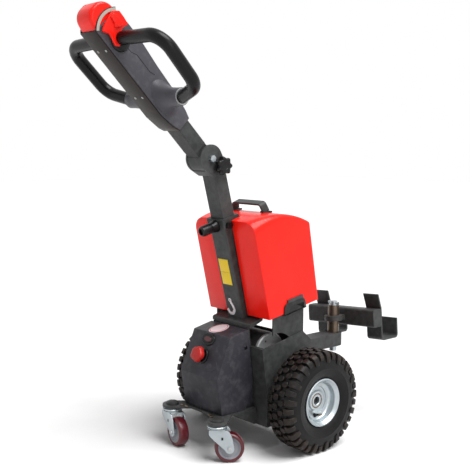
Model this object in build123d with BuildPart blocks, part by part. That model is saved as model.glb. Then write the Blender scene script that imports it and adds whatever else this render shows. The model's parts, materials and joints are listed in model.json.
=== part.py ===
from build123d import *
import os
from math import asin, cos, degrees, radians, sin, sqrt

os.makedirs("parts", exist_ok=True)

# Walk-behind electric tow tractor, in millimetres, +Z up.
# The operator walks at -Y, the hitch is at +Y, and the machine's right side is +X.
# Sizes are first worked out with the drive axle over Y = 0 and the ground at Z = 0.

# Clearances
seat = 0.3          # beside pieces that meet on a curve or pass close by
shaft_play = 0.05   # radial play of a shaft in its bore
wall_play = 0.5     # between sliding flat walls

# Drive wheels and axle
tyre_radius = 132.5
tyre_width = 85
tread_width = 68
tread_base = 126
lug_count = 34
lug_long = 14
centre_lug_long = 11
bead_radius = 55
track = 378
rim_half = 34
flange_radius = 62.5
rim_sheet = 3
hub_radius = 22
hub_out = 13
hub_in = 30
axle_radius = 10
axle_z = tyre_radius
axle_end = track / 2 + 4

# Casters
caster_x = 92.3
caster_y = -244.9
caster_radius = 37.5
caster_width = 28
caster_trail = 31
caster_plate_z = 98
caster_bolt_radius = 4
king_radius = 6
race_radius = 25
race_height = 12
fork_sheet = 3
fork_gap = 3
right_caster_swing = 50.7    # rest direction of the trail, from +X towards +Y
left_caster_swing = -8.0

# Base plate under the casters
base_thickness = 6
base_half = 76
base_front = -222
base_rear = -97.5
lobe_radius = 26

# Drive cover, a faceted plastic housing
cover_half = 74.3
cover_top_front = (-186.5, 303.1)
cover_top_rear = (-125.5, 316)
cover_fold = (-231.2, 198.6)
cover_foot = (-214, caster_plate_z + base_thickness)

# Chassis of folded sheet
side_x = 118
sheet = 5
flange_reach = 51
wall_foot = (-97, 60)
wall_bend = (-96, 133)
wall_shoulder = (-117, 269)
wall_top = (-123, 318)
side_top_mid = (-48, 280)
side_top_rear = (32, 297)
side_rear = 63
side_rear_top = 270
side_rear_foot = 92
side_foot_rear = 40

# Tongue and hitch post
tongue_half = 25
tongue_top = 238
tongue_height = 38
tongue_wall = 5
post_y = 285
post_radius = 17
post_top = 319
post_wall = 6
pin_radius = 10.7
pin_below = 182
pin_above = 331

# Tow bar, which sits rocked on its loose ring
bar_rock = 4.6
bar_z = 282.3
bar_half = 128
bar_height = 52
bar_depth = 38
bar_wall = 4
bar_corner = 7
bar_front = 29
ring_radius = 26
ring_height = 15
ring_play = 1.0
ring_drop = -2
lug_height = 28
hook_width = 54
hook_out = 125
hook_sheet = 5
hook_above = 42
hook_lean = 16
hook_drop = 69
tray_depth = 76
lip_height = 56
hook_bend = 9

# Foot plate and mast
lean = 15
foot_half = 74.3
foot_front = (-121.5, 326.5)
foot_sheet = 8
foot_depth = 46
foot_tongue_depth = 68
foot_tongue_half = 33
mast_front_y = -104.8
mast_width = 60
mast_depth = 50
mast_wall = 4.5
mast_length = 272
collar_width = 66
collar_depth = 58
collar_height = 40
collar_lip = 4
tube_width = 50
tube_depth = 40
tube_wall = 3
tube_bottom = 112
knuckle_drop = 45.4

# Index plunger and clamp knob on the collar
plunger_height = 258
plunger_radius = 13.5
plunger_reach = 50
boss_radius = 17
clamp_knob_radius = 8
clamp_knob_length = 11
clamp_knob_back = -15

# Knuckle between mast and tiller
knuckle_y = -214.7
knuckle_z = 754.7
ear_radius = 35
ear_in = 24.5
ear_out = 30
yoke_half = 24
yoke_radius = 34
bolt_radius = 6
bolt_head_radius = 9
bolt_head = 8
star_radius = 24
star_waist = 19.5
star_lobes = 7
star_depth = 24
star_back = 27.7     # behind the knuckle's axis
star_below = 17.7

# Tiller
tilt = 45
arm_width = 50
arm_depth = 38
arm_low = -21.8
arm_wall = 3
arm_length = 150

# Battery
case_y = -91.9
case_z = 342.3
case_tilt = 10.5
case_half = 119
case_shoulder = 35
case_depth = 183
case_height = 264.8
case_front_flare = 13
crown_front = 260
crown_rear = 217
crown_radius = 252
mast_channel_half = 34.5
mast_channel_back = 33
handle_half = 52
handle_from_front = 88
tray_sheet = 4
tray_front = 18
tray_rear = 132
tray_foot = 262
tab_front = 64
tab_rear = 124
tab_height = 38

# Motor and drive unit
motor_y = -54
motor_z = 249
motor_radius = 50
motor_half = 74
motor_end_length = 8
gearcase_half = 26
gearcase_radius = 56
axle_tube_radius = 24

pieces = []


def finish(piece, label):
    piece.part.label = label
    pieces.append(piece)


def side_plane(x):
    """Sketch plane with local x along +Y, local y along +Z and its normal along +X."""
    return Plane(origin=(x, 0, 0), x_dir=(0, 1, 0), z_dir=(1, 0, 0))


def wheel_plane(side):
    """Half plane through a drive wheel's axis: local x outboard, local y radial."""
    return Plane(origin=(side * track / 2, 0, axle_z), x_dir=(side, 0, 0), z_dir=(0, -side, 0))


# Drive wheels: tyre and dished rim on each side
wheel_axis = Axis((0, 0, axle_z), (1, 0, 0))
sides = (("right", 1), ("left", -1))

# The tyre is a ring of like wedges, each carrying its share of the tread.
# Columns: outboard distance and radius along one half of the wedge's outline
bead_half = rim_half - rim_sheet - seat
tyre_half_outline = (
    (bead_half, bead_radius), (bead_half, flange_radius + 1),
    (tyre_width / 2, 92), (tread_width / 2 + 3, 118), (tread_width / 2 - 2, tread_base),
)
# Columns: inner and outer side of a centre lug, and its place round the tyre in pitches
centre_lugs = ((-19, -1, 0.25), (1, 19, -0.25))
pitch = 360 / lug_count
spread = 1 / cos(radians(pitch / 2))


def wedge_plane(turn):
    """Half plane through the right wheel's axis, turned from straight down: local y is radial."""
    angle = radians(turn)
    return Plane(origin=(track / 2, 0, axle_z), x_dir=(1, 0, 0), z_dir=(0, cos(angle), sin(angle)))


with BuildPart() as wedge:
    for turn in (-pitch / 2, pitch / 2):
        with BuildSketch(wedge_plane(turn)):
            with BuildLine():
                half = [(x, r * spread) for x, r in tyre_half_outline]
                Polyline(*half, *[(-x, r) for x, r in reversed(half)], close=True)
            make_face()
    loft(ruled=True)
    for hand in (1, -1):
        with BuildSketch(Plane(origin=(track / 2, -lug_long / 2, axle_z), x_dir=(hand, 0, 0), z_dir=(0, hand, 0))):
            with BuildLine():
                Polyline(
                    (23, tread_base - 2), (23, tyre_radius), (tread_width / 2 - 1, tyre_radius - 1),
                    (tyre_width / 2 - 2, tread_base - 9), (tread_width / 2, tread_base - 12), close=True,
                )
            make_face()
        extrude(amount=hand * lug_long)
tread = [wedge.part.rotate(wheel_axis, k * pitch) for k in range(lug_count)]
for inner, outer, place in centre_lugs:
    with BuildPart() as block:
        with BuildSketch(Plane(origin=(track / 2, 0, axle_z + 3 - tread_base), x_dir=(1, 0, 0), z_dir=(0, 0, -1))):
            with Locations(((inner + outer) / 2, 0)):
                Rectangle(outer - inner, centre_lug_long)
        extrude(amount=tyre_radius - tread_base + 3)
    tread += [block.part.rotate(wheel_axis, (k + place) * pitch) for k in range(lug_count)]
with BuildPart() as tyre_body:
    add(tread)

for name, side in sides:
    with BuildPart() as tyre:
        add(tyre_body.part)
        if side < 0:
            mirror(about=Plane.YZ, mode=Mode.REPLACE)
    finish(tyre, f"tyre_{name}")

    with BuildPart() as rim:
        barrel = bead_radius - seat
        drum = barrel - rim_sheet
        with BuildSketch(wheel_plane(side)):
            with BuildLine():
                Polyline(
                    (-rim_half, flange_radius), (-rim_half + rim_sheet, flange_radius),
                    (-rim_half + rim_sheet, barrel), (rim_half - rim_sheet, barrel),
                    (rim_half - rim_sheet, flange_radius), (rim_half + 2, flange_radius),
                    (rim_half + 2, flange_radius - 3.5), (rim_half, flange_radius - 4.5),
                    (rim_half - 1, drum), (14, drum), (9, drum - 5),
                    (5, hub_radius + 3), (5, hub_radius), (hub_out, hub_radius),
                    (hub_out, axle_radius + shaft_play), (-hub_in, axle_radius + shaft_play),
                    (-hub_in, hub_radius), (2, hub_radius), (2, hub_radius + 4),
                    (6, drum - 5), (10, drum), (-rim_half, drum), close=True,
                )
            make_face()
        revolve(axis=wheel_axis)
    finish(rim, f"rim_{name}")

# Axle shaft and drive unit
with BuildPart() as drive_axle:
    with BuildSketch(Plane(origin=(-axle_end, 0, axle_z), x_dir=(0, 1, 0), z_dir=(1, 0, 0))):
        Circle(axle_radius)
    extrude(amount=2 * axle_end)
finish(drive_axle, "drive_axle")

motor_axis = Axis((0, motor_y, motor_z), (1, 0, 0))
with BuildPart() as drive_unit:
    tube_end = side_x - sheet
    with BuildSketch(Plane(origin=(0, 0, axle_z), x_dir=(1, 0, 0), z_dir=(0, -1, 0))):
        with BuildLine():
            Polyline(
                (-tube_end, 0), (-tube_end, axle_tube_radius), (-58, axle_tube_radius),
                (-gearcase_half, gearcase_radius), (gearcase_half, gearcase_radius),
                (58, axle_tube_radius), (tube_end, axle_tube_radius), (tube_end, 0), close=True,
            )
        make_face()
    revolve(axis=wheel_axis)
    with BuildSketch(side_plane(-gearcase_half)):
        with Locations((0, axle_z)):
            Circle(gearcase_radius)
        with Locations((motor_y, motor_z)):
            Circle(motor_radius - 8)
        make_hull()
    extrude(amount=2 * gearcase_half)
    with BuildSketch(side_plane(-side_x)):
        with Locations((0, axle_z)):
            Circle(axle_radius + seat)
    extrude(amount=2 * side_x, mode=Mode.SUBTRACT)
    with BuildSketch(side_plane(-motor_half)):
        with Locations((motor_y, motor_z)):
            Circle(motor_radius + seat)
    extrude(amount=2 * motor_half, mode=Mode.SUBTRACT)
finish(drive_unit, "drive_unit")

with BuildPart() as drive_motor:
    with BuildSketch(side_plane(-motor_half)):
        with Locations((motor_y, motor_z)):
            Circle(motor_radius)
    extrude(amount=2 * motor_half)
finish(drive_motor, "drive_motor")

with BuildPart() as motor_end:
    with BuildSketch(side_plane(motor_half)):
        with Locations((motor_y, motor_z)):
            Circle(motor_radius - 1)
    extrude(amount=motor_end_length)
    chamfer(motor_end.edges().filter_by(GeomType.CIRCLE).group_by(Axis.X)[-1], 2)
finish(motor_end, "motor_end")

# Chassis: two side plates joined by a front wall and a rear wall, open above and below
with BuildPart() as chassis_frame:
    with BuildSketch(side_plane(-side_x)):
        with BuildLine():
            Polyline(
                wall_foot, wall_bend, wall_shoulder, side_top_mid, side_top_rear,
                (side_rear, side_rear_top), (side_rear, side_rear_foot),
                (side_foot_rear, wall_foot[1]), close=True,
            )
        make_face()
    extrude(amount=2 * side_x)
    with BuildSketch(side_plane(-side_x + sheet)):
        with BuildLine():
            Polyline(
                (wall_foot[0] + sheet, wall_foot[1] - 1), (wall_bend[0] + sheet, wall_bend[1]),
                (wall_shoulder[0] + sheet, wall_shoulder[1] + 40), (side_rear - sheet, 340),
                (side_rear - sheet, wall_foot[1] - 1), close=True,
            )
        make_face()
    extrude(amount=2 * (side_x - sheet), mode=Mode.SUBTRACT)
    # The front wall rises between its flanges to carry the foot plate
    with BuildSketch(side_plane(-foot_half + sheet)):
        with BuildLine():
            Polyline(
                wall_shoulder, wall_top, (wall_top[0] + sheet, wall_top[1]),
                (wall_shoulder[0] + sheet, wall_shoulder[1]), close=True,
            )
        make_face()
    extrude(amount=2 * (foot_half - sheet))
    with BuildSketch(side_plane(-side_x)):
        with Locations((0, axle_z)):
            Circle(axle_tube_radius - 4)
    extrude(amount=2 * side_x, mode=Mode.SUBTRACT)
finish(chassis_frame, "chassis_frame")

# Tongue: a channel from the rear wall to the hitch post, with a round end
with BuildPart() as tongue:
    with BuildSketch(Plane.XY.offset(tongue_top - tongue_height)):
        with Locations((0, (side_rear + post_y) / 2)):
            Rectangle(2 * tongue_half, post_y - side_rear)
        with Locations((0, post_y)):
            Circle(tongue_half)
    extrude(amount=tongue_height)
    with BuildSketch(Plane.XY.offset(tongue_top - tongue_height)):
        with Locations((0, (side_rear + post_y) / 2 - 20)):
            Rectangle(2 * (tongue_half - tongue_wall), post_y - side_rear - 60)
    extrude(amount=tongue_height - tongue_wall, mode=Mode.SUBTRACT)
    with Locations((0, post_y, tongue_top)):
        Hole(pin_radius + seat, depth=tongue_height)
finish(tongue, "tongue")

with BuildPart() as hitch_post:
    with BuildSketch(Plane.XY.offset(tongue_top)):
        with Locations((0, post_y)):
            Circle(post_radius)
            Circle(post_radius - post_wall, mode=Mode.SUBTRACT)
    extrude(amount=post_top - tongue_top)
finish(hitch_post, "hitch_post")

with BuildPart() as hitch_pin:
    with BuildSketch(Plane.XY.offset(pin_below)):
        with Locations((0, post_y)):
            Circle(pin_radius)
    extrude(amount=pin_above - pin_below)
    with BuildSketch(Plane.XY.offset(tongue_top - tongue_height - 4)):
        with Locations((0, post_y)):
            Circle(post_radius)
    extrude(amount=4)
    with BuildSketch(Plane.XY.offset(post_top)):
        with Locations((0, post_y)):
            Circle(post_radius - 3)
    extrude(amount=5)
    with BuildSketch(Plane(origin=(-19, post_y, pin_above - 5), x_dir=(0, 1, 0), z_dir=(1, 0, 0))):
        Circle(4)
    extrude(amount=38)
finish(hitch_pin, "hitch_pin")

# Tow bar: everything here is made level about the post, then rocked
rock = Plane(
    origin=(0, post_y, bar_z),
    x_dir=(cos(radians(bar_rock)), 0, sin(radians(bar_rock))),
    z_dir=(-sin(radians(bar_rock)), 0, cos(radians(bar_rock))),
)


def on_bar(x, y, z, x_dir=(1, 0, 0), z_dir=(0, 0, 1)):
    """Plane given in the rocked bar's own axes, measured from the post."""
    return Plane(
        origin=rock.from_local_coords(Vector(x, y, z)),
        x_dir=rock.from_local_coords(Vector(*x_dir)) - rock.origin,
        z_dir=rock.from_local_coords(Vector(*z_dir)) - rock.origin,
    )


with BuildPart() as tow_bar:
    with BuildSketch(on_bar(-bar_half, bar_front + bar_depth / 2, 0, (0, 1, 0), (1, 0, 0))):
        RectangleRounded(bar_depth, bar_height, bar_corner)
    extrude(amount=2 * bar_half)
finish(tow_bar, "tow_bar")

with BuildPart() as tow_ring:
    with BuildSketch(on_bar(0, 0, ring_drop - ring_height / 2)):
        Circle(ring_radius)
        with Locations((0, bar_front / 2)):
            Rectangle(2 * ring_radius - 12, bar_front)
        with Locations((0, bar_front + 10)):
            Rectangle(4 * ring_radius, 20, mode=Mode.SUBTRACT)
    extrude(amount=ring_height)
    with BuildSketch(on_bar(0, 0, ring_drop - ring_height / 2)):
        Circle(post_radius + ring_play)
    extrude(amount=ring_height, mode=Mode.SUBTRACT)
finish(tow_ring, "tow_ring")

hook_front = bar_front + bar_depth
with BuildPart() as hook_right:
    with BuildSketch(on_bar(hook_out - hook_width, 0, 0, (0, 1, 0), (1, 0, 0))) as hook_side:
        with BuildLine():
            lean_back = hook_above * sin(radians(hook_lean))
            hook_path = FilletPolyline(
                (hook_front + hook_sheet / 2 - lean_back, bar_height / 2 + hook_above * cos(radians(hook_lean))),
                (hook_front + hook_sheet / 2, bar_height / 2),
                (hook_front + hook_sheet / 2, -hook_drop + hook_sheet / 2),
                (hook_front + tray_depth - hook_sheet / 2, -hook_drop + hook_sheet / 2),
                (hook_front + tray_depth - hook_sheet / 2, -hook_drop + lip_height),
                radius=hook_bend,
            )
            offset(hook_path, hook_sheet / 2, side=Side.BOTH)
        make_face()
    extrude(amount=hook_width)
finish(hook_right, "hook_right")

with BuildPart() as hook_left:
    add(hook_right.part)
    mirror(about=on_bar(0, 0, 0, (0, 1, 0), (1, 0, 0)), mode=Mode.REPLACE)
finish(hook_left, "hook_left")

# Base plate with a round lobe over each caster, and a skirt down to the chassis foot
with BuildPart() as base_plate:
    with BuildSketch(Plane.XY.offset(caster_plate_z)):
        with Locations((0, (base_front + base_rear) / 2)):
            Rectangle(2 * base_half, base_rear - base_front)
        for name, side in sides:
            with BuildSketch(mode=Mode.PRIVATE) as lobe:
                with Locations((side * caster_x, caster_y)):
                    Circle(lobe_radius)
                with Locations((side * (base_half - 26), base_front + 30)):
                    Circle(lobe_radius)
                make_hull()
            add(lobe.sketch)
    extrude(amount=base_thickness)
    with BuildSketch(side_plane(-base_half)):
        with BuildLine():
            Polyline(
                (base_rear, caster_plate_z), (base_rear, wall_foot[1]),
                (base_rear - sheet, wall_foot[1]), (base_rear - 75, caster_plate_z), close=True,
            )
        make_face()
    extrude(amount=2 * base_half)
    with BuildSketch(side_plane(-base_half + sheet)):
        with BuildLine():
            Polyline(
                (base_rear - sheet, caster_plate_z), (base_rear - sheet, wall_foot[1] - 1),
                (base_rear - 2 * sheet, wall_foot[1] - 1), (base_rear - 75 - sheet, caster_plate_z), close=True,
            )
        make_face()
    extrude(amount=2 * (base_half - sheet), mode=Mode.SUBTRACT)
    with Locations(*[(side * caster_x, caster_y, caster_plate_z + base_thickness) for name, side in sides]):
        Hole(king_radius + seat, depth=base_thickness)
finish(base_plate, "base_plate")

# Casters: king bolt on the base, turning fork, wheel
for name, side, swing in (("right", 1, right_caster_swing), ("left", -1, left_caster_swing)):
    along = (cos(radians(swing)), sin(radians(swing)), 0)
    across = (-along[1], along[0], 0)
    king = Vector(side * caster_x, caster_y, 0)
    with BuildPart() as king_bolt:
        with BuildSketch(Plane(origin=king + Vector(0, 0, caster_plate_z - race_height))):
            Circle(king_radius)
        extrude(amount=race_height + base_thickness)
        with BuildSketch(Plane(origin=king + Vector(0, 0, caster_plate_z + base_thickness))):
            Circle(17)
        extrude(amount=8)
        chamfer(king_bolt.faces().sort_by(Axis.Z)[-1].edges(), 3)
    finish(king_bolt, f"king_bolt_{name}")

    wheel_centre = king + Vector(*along) * caster_trail + Vector(0, 0, caster_radius)
    with BuildPart() as fork:
        leg_in = caster_width / 2 + fork_gap
        crown_z = caster_plate_z - race_height - fork_sheet
        fork_side = Plane(origin=king + Vector(*across) * (leg_in + fork_sheet), x_dir=along, z_dir=Vector(*across) * -1)
        with BuildSketch(fork_side):
            with BuildLine():
                Polyline(
                    (-race_radius + 4, crown_z + fork_sheet), (race_radius, crown_z + fork_sheet),
                    (race_radius + 10, crown_z - 8), (caster_trail + 11, caster_radius),
                    (caster_trail - 11, caster_radius), (-race_radius + 4, crown_z - 12), close=True,
                )
            make_face()
            with Locations((caster_trail, caster_radius)):
                Circle(11)
        extrude(amount=2 * (leg_in + fork_sheet))
        with BuildSketch(fork_side.offset(fork_sheet)):
            with Locations((0, crown_z / 2)):
                Rectangle(6 * race_radius, crown_z)
        extrude(amount=2 * leg_in, mode=Mode.SUBTRACT)
        with BuildSketch(Plane(origin=king + Vector(0, 0, crown_z), x_dir=along)):
            Circle(race_radius)
        extrude(amount=race_height + fork_sheet - seat)
        with BuildSketch(Plane(origin=king + Vector(0, 0, crown_z - 1), x_dir=along)):
            Circle(king_radius + shaft_play)
        extrude(amount=race_height + fork_sheet + 2, mode=Mode.SUBTRACT)
        with BuildSketch(Plane(origin=wheel_centre - Vector(*across) * (leg_in + 8), x_dir=along, z_dir=across)):
            Circle(caster_bolt_radius)
        extrude(amount=2 * (leg_in + 8))
    finish(fork, f"caster_fork_{name}")

    wheel_plane_mid = Plane(origin=wheel_centre, x_dir=across, z_dir=along)
    caster_axis = Axis(wheel_centre, Vector(*across))
    with BuildPart() as caster_hub:
        hub_rim = caster_radius - 9
        hub_half = caster_width / 2
        with BuildSketch(wheel_plane_mid):
            with BuildLine():
                Polyline(
                    (-hub_half - 1.5, caster_bolt_radius + shaft_play), (-hub_half - 1.5, 9),
                    (-hub_half + 5, 10), (-hub_half + 5, hub_rim - 4), (-hub_half + 1, hub_rim - 1),
                    (-hub_half + 1, hub_rim), (hub_half - 1, hub_rim), (hub_half - 1, hub_rim - 1),
                    (hub_half - 5, hub_rim - 4), (hub_half - 5, 10), (hub_half + 1.5, 9),
                    (hub_half + 1.5, caster_bolt_radius + shaft_play), close=True,
                )
            make_face()
        revolve(axis=caster_axis)
    finish(caster_hub, f"caster_hub_{name}")

    with BuildPart() as caster_tread:
        with BuildSketch(wheel_plane_mid):
            with BuildLine():
                Polyline(
                    (-hub_half, hub_rim + seat), (hub_half, hub_rim + seat), (hub_half, caster_radius - 4),
                    (hub_half - 5, caster_radius), (5 - hub_half, caster_radius),
                    (-hub_half, caster_radius - 4), close=True,
                )
            make_face()
        revolve(axis=caster_axis)
    finish(caster_tread, f"caster_tread_{name}")

# Drive cover
with BuildPart() as drive_cover:
    with BuildSketch(side_plane(-cover_half)):
        with BuildLine():
            Polyline(
                cover_foot, cover_fold, cover_top_front, cover_top_rear,
                (wall_shoulder[0] - seat - 1, wall_shoulder[1]), (wall_bend[0] - seat - 1, wall_bend[1]),
                (wall_bend[0] - 30, cover_foot[1]), close=True,
            )
        make_face()
    extrude(amount=2 * cover_half)
    fillet(drive_cover.edges().filter_by(Axis.X).group_by(Axis.Y)[0], 8)
    fillet(drive_cover.faces().filter_by(Axis.X).edges().group_by(Axis.Y)[0], 3)
finish(drive_cover, "drive_cover")

with BuildPart() as stop_knob:
    slope = Vector(0, cover_fold[0] - cover_top_front[0], cover_fold[1] - cover_top_front[1]).normalized()
    outward = Vector(0, slope.Z, -slope.Y)
    face_middle = Vector(0, (cover_fold[0] + cover_top_front[0]) / 2, (cover_fold[1] + cover_top_front[1]) / 2)
    knob_foot = Plane(origin=face_middle + slope * 6 + Vector(-6, 0, 0), x_dir=(1, 0, 0), z_dir=outward)
    with BuildSketch(knob_foot):
        Circle(21)
    extrude(amount=5)
    with BuildSketch(knob_foot.offset(5)):
        Circle(13)
    extrude(amount=8)
    with BuildSketch(knob_foot.offset(13)):
        Circle(19)
    extrude(amount=16, taper=8)
finish(stop_knob, "stop_knob")

# Foot plate, bent over the top of the chassis wall
mast_turn = radians(lean)
mast_axis = Vector(0, -sin(mast_turn), cos(mast_turn))
mast_back = Vector(0, cos(mast_turn), sin(mast_turn))
foot_slope = mast_back.Z / mast_back.Y
with BuildPart() as foot_plate:
    for half, depth in ((foot_half, foot_depth), (foot_tongue_half, foot_tongue_depth)):
        with BuildSketch(side_plane(-half)):
            with BuildLine():
                Polyline(
                    (foot_front[0], foot_front[1] - foot_sheet), foot_front,
                    (foot_front[0] + 3, foot_front[1] + 3),
                    (foot_front[0] + depth, foot_front[1] + 3 + (depth - 3) * foot_slope),
                    (foot_front[0] + depth, foot_front[1] - foot_sheet + 2 + depth * foot_slope),
                    (foot_front[0] + foot_sheet, foot_front[1] - foot_sheet), close=True,
                )
            make_face()
        extrude(amount=2 * half)
finish(foot_plate, "foot_plate")

mast_foot_z = foot_front[1] + 3 + (mast_front_y - foot_front[0] - 3) * mast_back.Z / mast_back.Y
mast_foot = Vector(0, mast_front_y, mast_foot_z) + mast_back * (mast_depth / 2)


def mast_plane(height):
    """Plane square to the mast: local x along +X, local y towards the mast's back."""
    return Plane(origin=mast_foot + mast_axis * height, x_dir=(1, 0, 0), z_dir=mast_axis)


with BuildPart() as mast_sleeve:
    with BuildSketch(mast_plane(0)):
        RectangleRounded(mast_width, mast_depth, 4)
        Rectangle(mast_width - 2 * mast_wall, mast_depth - 2 * mast_wall, mode=Mode.SUBTRACT)
    extrude(amount=mast_length)
finish(mast_sleeve, "mast_sleeve")

with BuildPart() as mast_collar:
    with BuildSketch(mast_plane(mast_length - collar_height + collar_lip)):
        RectangleRounded(collar_width, collar_depth, 3)
    extrude(amount=collar_height)
    with BuildSketch(mast_plane(mast_length - collar_height)):
        Rectangle(mast_width + 2 * seat, mast_depth + 2 * seat)
    extrude(amount=collar_height, mode=Mode.SUBTRACT)
    with BuildSketch(mast_plane(mast_length)):
        Rectangle(tube_width + 2 * wall_play, tube_depth + 2 * wall_play)
    extrude(amount=collar_lip + 1, mode=Mode.SUBTRACT)
finish(mast_collar, "mast_collar")

with BuildPart() as index_plunger:
    plunger_root = mast_foot + mast_axis * plunger_height - mast_back * (collar_depth / 2)
    plunger_plane = Plane(origin=plunger_root, x_dir=(1, 0, 0), z_dir=mast_back * -1)
    with BuildSketch(plunger_plane):
        Circle(boss_radius)
    extrude(amount=18, taper=14)
    with BuildSketch(plunger_plane.offset(18)):
        Circle(plunger_radius)
    extrude(amount=plunger_reach - 18)
    with BuildSketch(plunger_plane.offset(plunger_reach - 5)):
        Circle(plunger_radius - 4.5)
    extrude(amount=5, mode=Mode.SUBTRACT)
finish(index_plunger, "index_plunger")

with BuildPart() as clamp_knob:
    clamp_root = mast_foot + mast_axis * plunger_height + mast_back * clamp_knob_back + Vector(collar_width / 2, 0, 0)
    with BuildSketch(Plane(origin=clamp_root, x_dir=(0, 1, 0), z_dir=(1, 0, 0))):
        Circle(clamp_knob_radius)
    extrude(amount=clamp_knob_length)
finish(clamp_knob, "clamp_knob")

# Sliding inner mast tube with the knuckle on its top
knuckle = Vector(0, knuckle_y, knuckle_z)
knuckle_height = (knuckle - mast_foot).dot(mast_axis)
tube_top = knuckle_height - knuckle_drop
with BuildPart() as mast_tube:
    with BuildSketch(mast_plane(tube_bottom)):
        RectangleRounded(tube_width, tube_depth, 3)
        Rectangle(tube_width - 2 * tube_wall, tube_depth - 2 * tube_wall, mode=Mode.SUBTRACT)
    extrude(amount=tube_top - tube_bottom)
finish(mast_tube, "mast_tube")


def knuckle_plane(x):
    """Sketch plane through the knuckle axis, square to X: local y up along the mast."""
    return Plane(origin=knuckle + Vector(x, 0, 0), x_dir=mast_back, z_dir=(1, 0, 0))


tube_back = (mast_foot - knuckle).dot(mast_back)    # mast centre line behind the knuckle axis
with BuildPart() as knuckle_base:
    with BuildSketch(knuckle_plane(-ear_out)):
        with Locations((tube_back - 3, -knuckle_drop + 11)):
            Rectangle(tube_depth + 6, 22)
        Circle(ear_radius)
        make_hull()
    extrude(amount=2 * ear_out)
    with BuildSketch(knuckle_plane(-ear_in)):
        Circle(yoke_radius + 1.2)
        with Locations((-20, 30)):
            Rectangle(150, 60)
    extrude(amount=2 * ear_in, mode=Mode.SUBTRACT)
    with BuildSketch(knuckle_plane(-ear_out)):
        Circle(bolt_radius + shaft_play)
    extrude(amount=2 * ear_out, mode=Mode.SUBTRACT)
finish(knuckle_base, "knuckle_base")

with BuildPart() as knuckle_bolt:
    with BuildSketch(knuckle_plane(-ear_out - seat)):
        Circle(bolt_radius)
    extrude(amount=2 * (ear_out + seat))
    with BuildSketch(knuckle_plane(ear_out)):
        RegularPolygon(bolt_head_radius, 6)
    extrude(amount=bolt_head)
    with BuildSketch(knuckle_plane(-ear_out - bolt_head)):
        RegularPolygon(bolt_head_radius, 6)
    extrude(amount=bolt_head)
finish(knuckle_bolt, "knuckle_bolt")

with BuildPart() as star_knob:
    star_middle = Plane(origin=(ear_out, knuckle_y + star_back, knuckle_z - star_below), x_dir=(0, 1, 0), z_dir=(1, 0, 0))
    with BuildSketch(star_middle):
        Circle(9)
    extrude(amount=5)
    with BuildSketch(star_middle.offset(5)):
        Circle(star_waist)
        with PolarLocations(star_radius - 6, star_lobes):
            Circle(6)
    extrude(amount=star_depth - 5)
finish(star_knob, "star_knob")

# Tiller: arm, head, loop grips and switches, all in planes square to the arm
arm_turn = radians(tilt)
arm_axis = Vector(0, -sin(arm_turn), cos(arm_turn))
arm_up = Vector(0, cos(arm_turn), sin(arm_turn))


def arm_plane(along):
    """Plane square to the tiller: local x along +X, local y out of the tiller's upper side."""
    return Plane(origin=knuckle + arm_axis * along, x_dir=(1, 0, 0), z_dir=arm_axis)


def flank_plane(x):
    """Plane along the tiller, square to X: local x along the tiller's upper side, y along it."""
    return Plane(origin=knuckle + Vector(x, 0, 0), x_dir=arm_up, z_dir=(1, 0, 0))


arm_mid = arm_low + arm_depth / 2
with BuildPart() as tiller_arm:
    with BuildSketch(arm_plane(22)):
        with Locations((0, arm_mid)):
            RectangleRounded(arm_width - 2, arm_depth, 3)
    extrude(amount=20)
    with BuildSketch(arm_plane(40)):
        with Locations((0, arm_mid)):
            RectangleRounded(arm_width, arm_depth, 3)
    extrude(amount=arm_length - 40)
    with BuildSketch(arm_plane(60)):
        with Locations((0, arm_mid)):
            Rectangle(arm_width - 2 * arm_wall, arm_depth - 2 * arm_wall)
    extrude(amount=arm_length - 60, mode=Mode.SUBTRACT)
    with BuildSketch(knuckle_plane(-yoke_half)):
        Circle(yoke_radius)
    extrude(amount=2 * yoke_half)
    with BuildSketch(knuckle_plane(-yoke_half)):
        Circle(bolt_radius + seat)
    extrude(amount=2 * yoke_half, mode=Mode.SUBTRACT)
finish(tiller_arm, "tiller_arm")

# Loop grips: one bent tube on each side, let into the head at both ends
loop_radius = 15.5
loop_level = -3.8
loop_foot = 242.6
loop_path_points = ((84, -43), (179, -9), (186, 137), (30, 141))
loop_bend = 42
socket_radius = 21
socket_reach = 102
boss_root = 34

loop_plane = Plane(
    origin=knuckle + arm_up * loop_level + arm_axis * loop_foot, x_dir=(1, 0, 0), z_dir=arm_up * -1
)


def bent_tube(radius):
    """Round tube of the given radius along the right-hand grip's path."""
    with BuildPart() as bent:
        with BuildLine(loop_plane) as loop_line:
            FilletPolyline(*loop_path_points, radius=loop_bend)
        with BuildSketch(Plane(origin=loop_line.line @ 0, z_dir=loop_line.line % 0)):
            Circle(radius)
        sweep()
    return bent


for name, side in sides:
    with BuildPart() as grip:
        add(bent_tube(loop_radius).part)
        if side < 0:
            mirror(about=Plane.YZ, mode=Mode.REPLACE)
    finish(grip, f"grip_{name}")

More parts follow.
